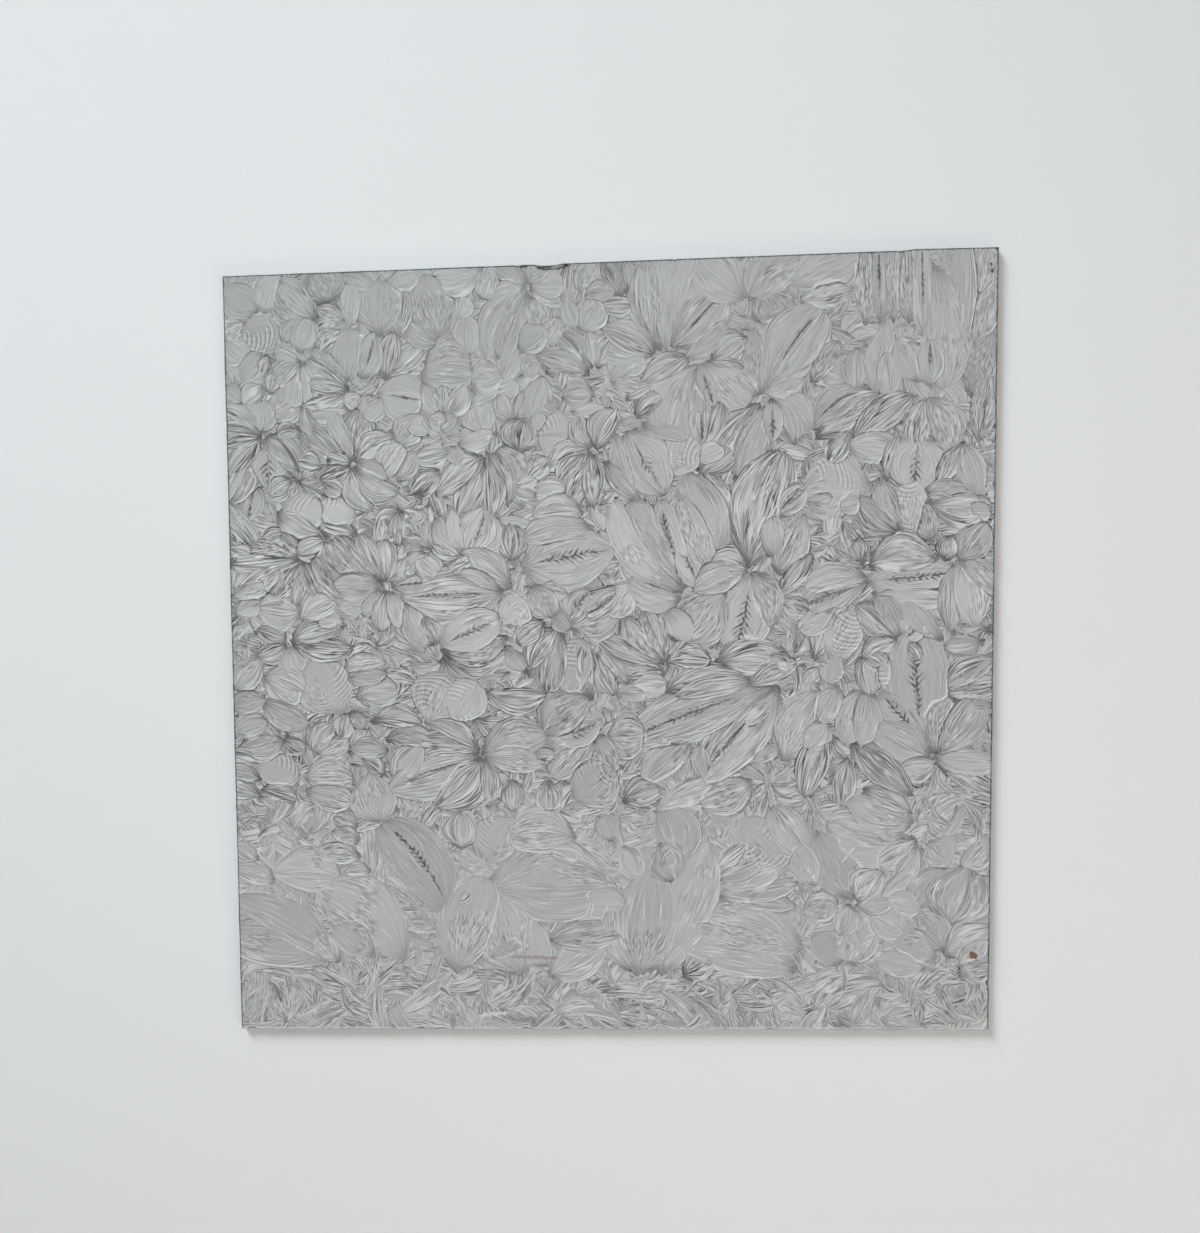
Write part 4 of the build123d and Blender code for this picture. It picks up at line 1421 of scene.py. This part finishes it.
# The strokes' light and dark bands and the hair pairs are painted shade and painted highlight of the ribs
lines = plus(times(strokes, TONES["stroke"]), times(painted_shade_hairs, painted_shade_share, TONES["painted shade hair"]),
             times(painted_highlight_hairs, painted_highlight_share, TONES["painted highlight hair"]))
tone = plus(PLAIN_TONE, times(petal_tone, TONES["petal"]), times(stroked, TONES["ribbed"]),
            times(lines, painted_light_facing), times(flecks, TONES["fleck"]), times(dark_rings, TONES["dark ring"]),
            times(bright_rings, TONES["bright ring"]), times(fern, TONES["fern"]),
            times(crest_painted_shade, painted_shade_share, TONES["crest painted shade"]),
            times(crest_painted_highlight, painted_highlight_share, TONES["crest painted highlight"]), times(frosted, TONES["frost"]))
tone = maths("MAXIMUM", maths("MINIMUM", tone, WHITEST), DARKEST)
shade = add("ShaderNodeVectorMath", {0: CLEAR, "Scale": tone}, operation="SCALE").outputs[0]
print("nodes with the tone:", len(tree.nodes))

# %% Painted shade along the outline, painted glint on the bottom edge, and walls
OUTLINE_FADE, OUTLINE_GRAIN = (0.40, 0.75, 1.0, 0.0), (0.3, 0.5, 0.6, 1.0)
GLINT_FADE, GLINT_GRAIN = (0.7, 1.0, 1.0, 0.0), (0.35, 0.55, 0.25, 1.0)
ON_FACE = (0.1, 0.3)            # the painted highlight share is 0 on the walls and more on the face
OUTLINE_PAINTED_SHADE, GLINT, WALL_GREEN = (0.10, 0.12, 0.13, 1), (1.0, 1.0, 1.0, 1), (0.16, 0.24, 0.22, 1)
# A dark line of painted shade runs just inside the outline along the top and the sides
outline_painted_shade = times(ramp(outline_mm, *OUTLINE_FADE), ramp(grains, *OUTLINE_GRAIN))
edge_glint = times(ramp(bottom_mm, *GLINT_FADE), ramp(grains, *GLINT_GRAIN))
shade = blend(outline_painted_shade, shade, OUTLINE_PAINTED_SHADE)
shade = blend(edge_glint, shade, GLINT)
shade = blend(ramp(painted_highlight_share, *ON_FACE), WALL_GREEN, shade)
print("nodes with the colour:", len(tree.nodes))

# %% Pits, scuffs and specks, painted shade in the nick and painted glints
# The nick is painted near black as painted shade
NICK_PAINTED_SHADE, PIT, BEIGE = (0.012, 0.014, 0.016, 1), (0.10, 0.115, 0.12, 1), (0.36, 0.34, 0.28, 1)
# The white marks are painted glints
PAINTED_GLINT, RUST, FAINT_RED = (1.0, 1.0, 1.0, 1), (0.33, 0.17, 0.13, 1), (0.56, 0.47, 0.46, 1)
# Each row is a short line from one picture pixel to another, its half width in pixels, and its colour.
MARKS = [
    (541.0, 266.3, 566.0, 264.8, 3.8, NICK_PAINTED_SHADE), (552.0, 267.2, 563.5, 266.0, 1.5, BEIGE),
    (433.0, 276.4, 435.2, 276.6, 1.2, PIT), (521.0, 266.6, 527.0, 266.2, 1.0, PIT),
    (990.5, 263.6, 991.5, 264.6, 1.0, PIT), (992.5, 269.6, 993.7, 270.6, 1.0, PIT),
    (588.0, 592.0, 614.0, 585.0, 0.9, PIT), (480.0, 1016.0, 507.0, 1013.0, 2.4, PAINTED_GLINT),
    (971.5, 954.5, 974.5, 956.5, 3.2, RUST), (957.0, 967.0, 959.0, 969.0, 1.3, RUST),
    (513.0, 957.0, 556.0, 958.5, 2.0, FAINT_RED), (806.0, 867.0, 811.0, 873.0, 0.9, PAINTED_GLINT),
    (813.0, 876.0, 816.0, 882.0, 1.1, PAINTED_GLINT), (817.0, 885.0, 820.0, 890.0, 0.9, PAINTED_GLINT),
    (842.0, 862.0, 847.0, 856.0, 0.9, PAINTED_GLINT), (850.0, 852.0, 855.0, 847.0, 1.0, PAINTED_GLINT),
    (875.0, 832.0, 877.5, 834.0, 1.1, PAINTED_GLINT),
]
MARK_WOBBLE = 0.0016
MARK_EDGE = (1.15, 0.8)
small_shift = times(plus(grains, -0.5), MARK_WOBBLE)
wobbly_place = add("ShaderNodeVectorMath", {0: place, 1: small_shift}, operation="ADD").outputs[0]


def mark(start, end, half_width):
    """1 inside an oval from start to end in mm, 0 outside: the distance in a space where it is a circle."""
    run = (end - start) / 2
    half_length = math.hypot(*run) + half_width
    circle = add("ShaderNodeMapping", {
        "Vector": wobbly_place,
        "Location": (*((start + end) / 2 * MM), 0),
        "Rotation": (0, 0, math.atan2(run[1], run[0])),
        "Scale": (half_length * MM, half_width * MM, 1),
    }, vector_type="TEXTURE")
    away = add("ShaderNodeVectorMath", {0: circle.outputs[0]}, operation="LENGTH").outputs["Value"]
    return ramp(away, *MARK_EDGE)


for start_x, start_y, end_x, end_y, half_pixels, colour in MARKS:
    start, end = on_pane(np.array([(start_x, start_y), (end_x, end_y)]))
    pixel = math.dist(start, end) / math.hypot(end_x - start_x, end_y - start_y)
    shade = blend(mark(start, end, half_pixels * pixel), shade, colour)
print("marks:", len(MARKS))

# %% The shader
PLAIN_ROUGH, FERN_ROUGH, FROST_ROUGH = 0.17, 0.2, 0.06
roughness = plus(PLAIN_ROUGH, times(fern, FERN_ROUGH), times(frosted, FROST_ROUGH))
shader = add("ShaderNodeBsdfPrincipled", {
    "Base Color": shade,
    "Roughness": roughness,
    "IOR": 1.52,
    "Transmission Weight": 0.40,
    "Normal": bump.outputs[0],
})
ABSORBED = {"Color": (0.60, 0.80, 0.75, 1), "Density": 15.0}
absorb = add("ShaderNodeVolumeAbsorption", ABSORBED)
add("ShaderNodeOutputMaterial", {"Surface": shader.outputs[0], "Volume": absorb.outputs[0]})
mesh.materials.append(glass)
print("nodes in the glass:", len(tree.nodes))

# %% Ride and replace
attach(pane, "root")
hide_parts("glass_pane")
print("piece:", pane.name)

# %% [markdown]
# ## Floor and light
#
# Clear glass shows only what it bends and mirrors. A row of narrow strip lamps overhead gives every small
# slope something bright and something dark to mirror, and a soft band across the middle adds a sheen. One
# large cool lamp at the top left rakes across the bowls, and a small warm one fills in from the bottom
# right. Together they light the floor at about the level at which a colour renders as it is written. The
# raking lamp isn't mirrored, so from a low viewpoint no white patch lies on the glass. Its beam is narrow,
# because a wide one would burn out the floor under the lamp. The world is pale where it is seen directly
# and dim where it lights the pane.

# %% The floor
FLOOR_SIZE = 3.0
FLOOR_GAP = 5e-5
half = FLOOR_SIZE / 2
floor_mesh = bpy.data.meshes.new("floor")
corners = ((-half, -half), (half, -half), (half, half), (-half, half))
floor_mesh.from_pydata([(x, y, -FLOOR_GAP) for x, y in corners], [], [(0, 1, 2, 3)])
floor = bpy.data.objects.new("floor", floor_mesh)
bpy.context.collection.objects.link(floor)
floor_paint = bpy.data.materials.new("floor_paint")
floor_paint.use_nodes = True
floor_shader = floor_paint.node_tree.nodes["Principled BSDF"]
floor_shader.inputs["Base Color"].default_value = (0.80, 0.80, 0.79, 1)
floor_shader.inputs["Roughness"].default_value = 0.9
floor_mesh.materials.append(floor_paint)
print("floor in m:", FLOOR_SIZE)

# %% Lamps and world
def lamp_panel(name, place, aim, size, radiance, colour=(1, 1, 1)):
    """A rectangular lamp that faces a point. Its power is radiance times area times pi.

    That holds for an open lamp. A narrowed beam keeps the power, so it is brighter along its middle.
    """
    lamp = bpy.data.lights.new(name, "AREA")
    lamp.shape = "RECTANGLE"
    lamp.size, lamp.size_y = size
    lamp.energy = radiance * size[0] * size[1] * math.pi
    lamp.color = colour
    panel = bpy.data.objects.new(name, lamp)
    panel.location = place
    panel.rotation_euler = (Vector(place) - Vector(aim)).to_track_quat("Z", "Y").to_euler()
    panel.visible_camera = False
    bpy.context.collection.objects.link(panel)
    return panel


STRIP_COUNT = 5
STRIP_GAP = 0.24
STRIP_HIGH = 0.85
STRIP_TURN = math.radians(35)
STRIP_SIZE = (0.025, 1.3)
STRIP_RADIANCE = 4.5
RAKING_PLACE = (-1.30, 1.85, 1.05)
RAKING_SPREAD = math.radians(70)
BAND_PLACE, BAND_SIZE = (0.0, 0.03, 0.85), (1.3, 0.14)
WARM_PLACE = (0.70, -0.95, 0.50)
COOL, WARM = (0.86, 0.935, 1.0), (1.0, 0.87, 0.72)
for k in range(STRIP_COUNT):
    reach = (k - (STRIP_COUNT - 1) / 2) * STRIP_GAP
    spot = (reach * math.cos(STRIP_TURN), reach * math.sin(STRIP_TURN), STRIP_HIGH)
    strip = lamp_panel(f"strip_{k}", spot, (spot[0], spot[1], 0), STRIP_SIZE, STRIP_RADIANCE)
    strip.rotation_euler = (0, 0, STRIP_TURN)
raking = lamp_panel("raking_lamp", RAKING_PLACE, (0, 0, 0), (1.0, 1.0), 3.6, COOL)
raking.visible_glossy = False
raking.data.spread = RAKING_SPREAD
lamp_panel("soft_band", BAND_PLACE, (*BAND_PLACE[:2], 0), BAND_SIZE, 3.0)
lamp_panel("warm_lamp", WARM_PLACE, (0, 0, 0), (0.4, 0.4), 8.0, WARM)
print("lamps:", len(bpy.data.lights))

# %% World
DIM, PALE = (0.08, 0.081, 0.083, 1), (0.70, 0.71, 0.72, 1)
world = bpy.data.worlds.new("studio")
world.use_nodes = True
add_to_world = node_adder(world.node_tree)
seen = add_to_world("ShaderNodeLightPath").outputs["Is Camera Ray"]
sky = add_to_world("ShaderNodeMix", {0: seen, 6: DIM, 7: PALE}, data_type="RGBA")
world.node_tree.links.new(sky.outputs[2], world.node_tree.nodes["Background"].inputs[0])
bpy.context.scene.world = world
bpy.context.scene.view_settings.view_transform = "Standard"
print("view transform:", bpy.context.scene.view_settings.view_transform)
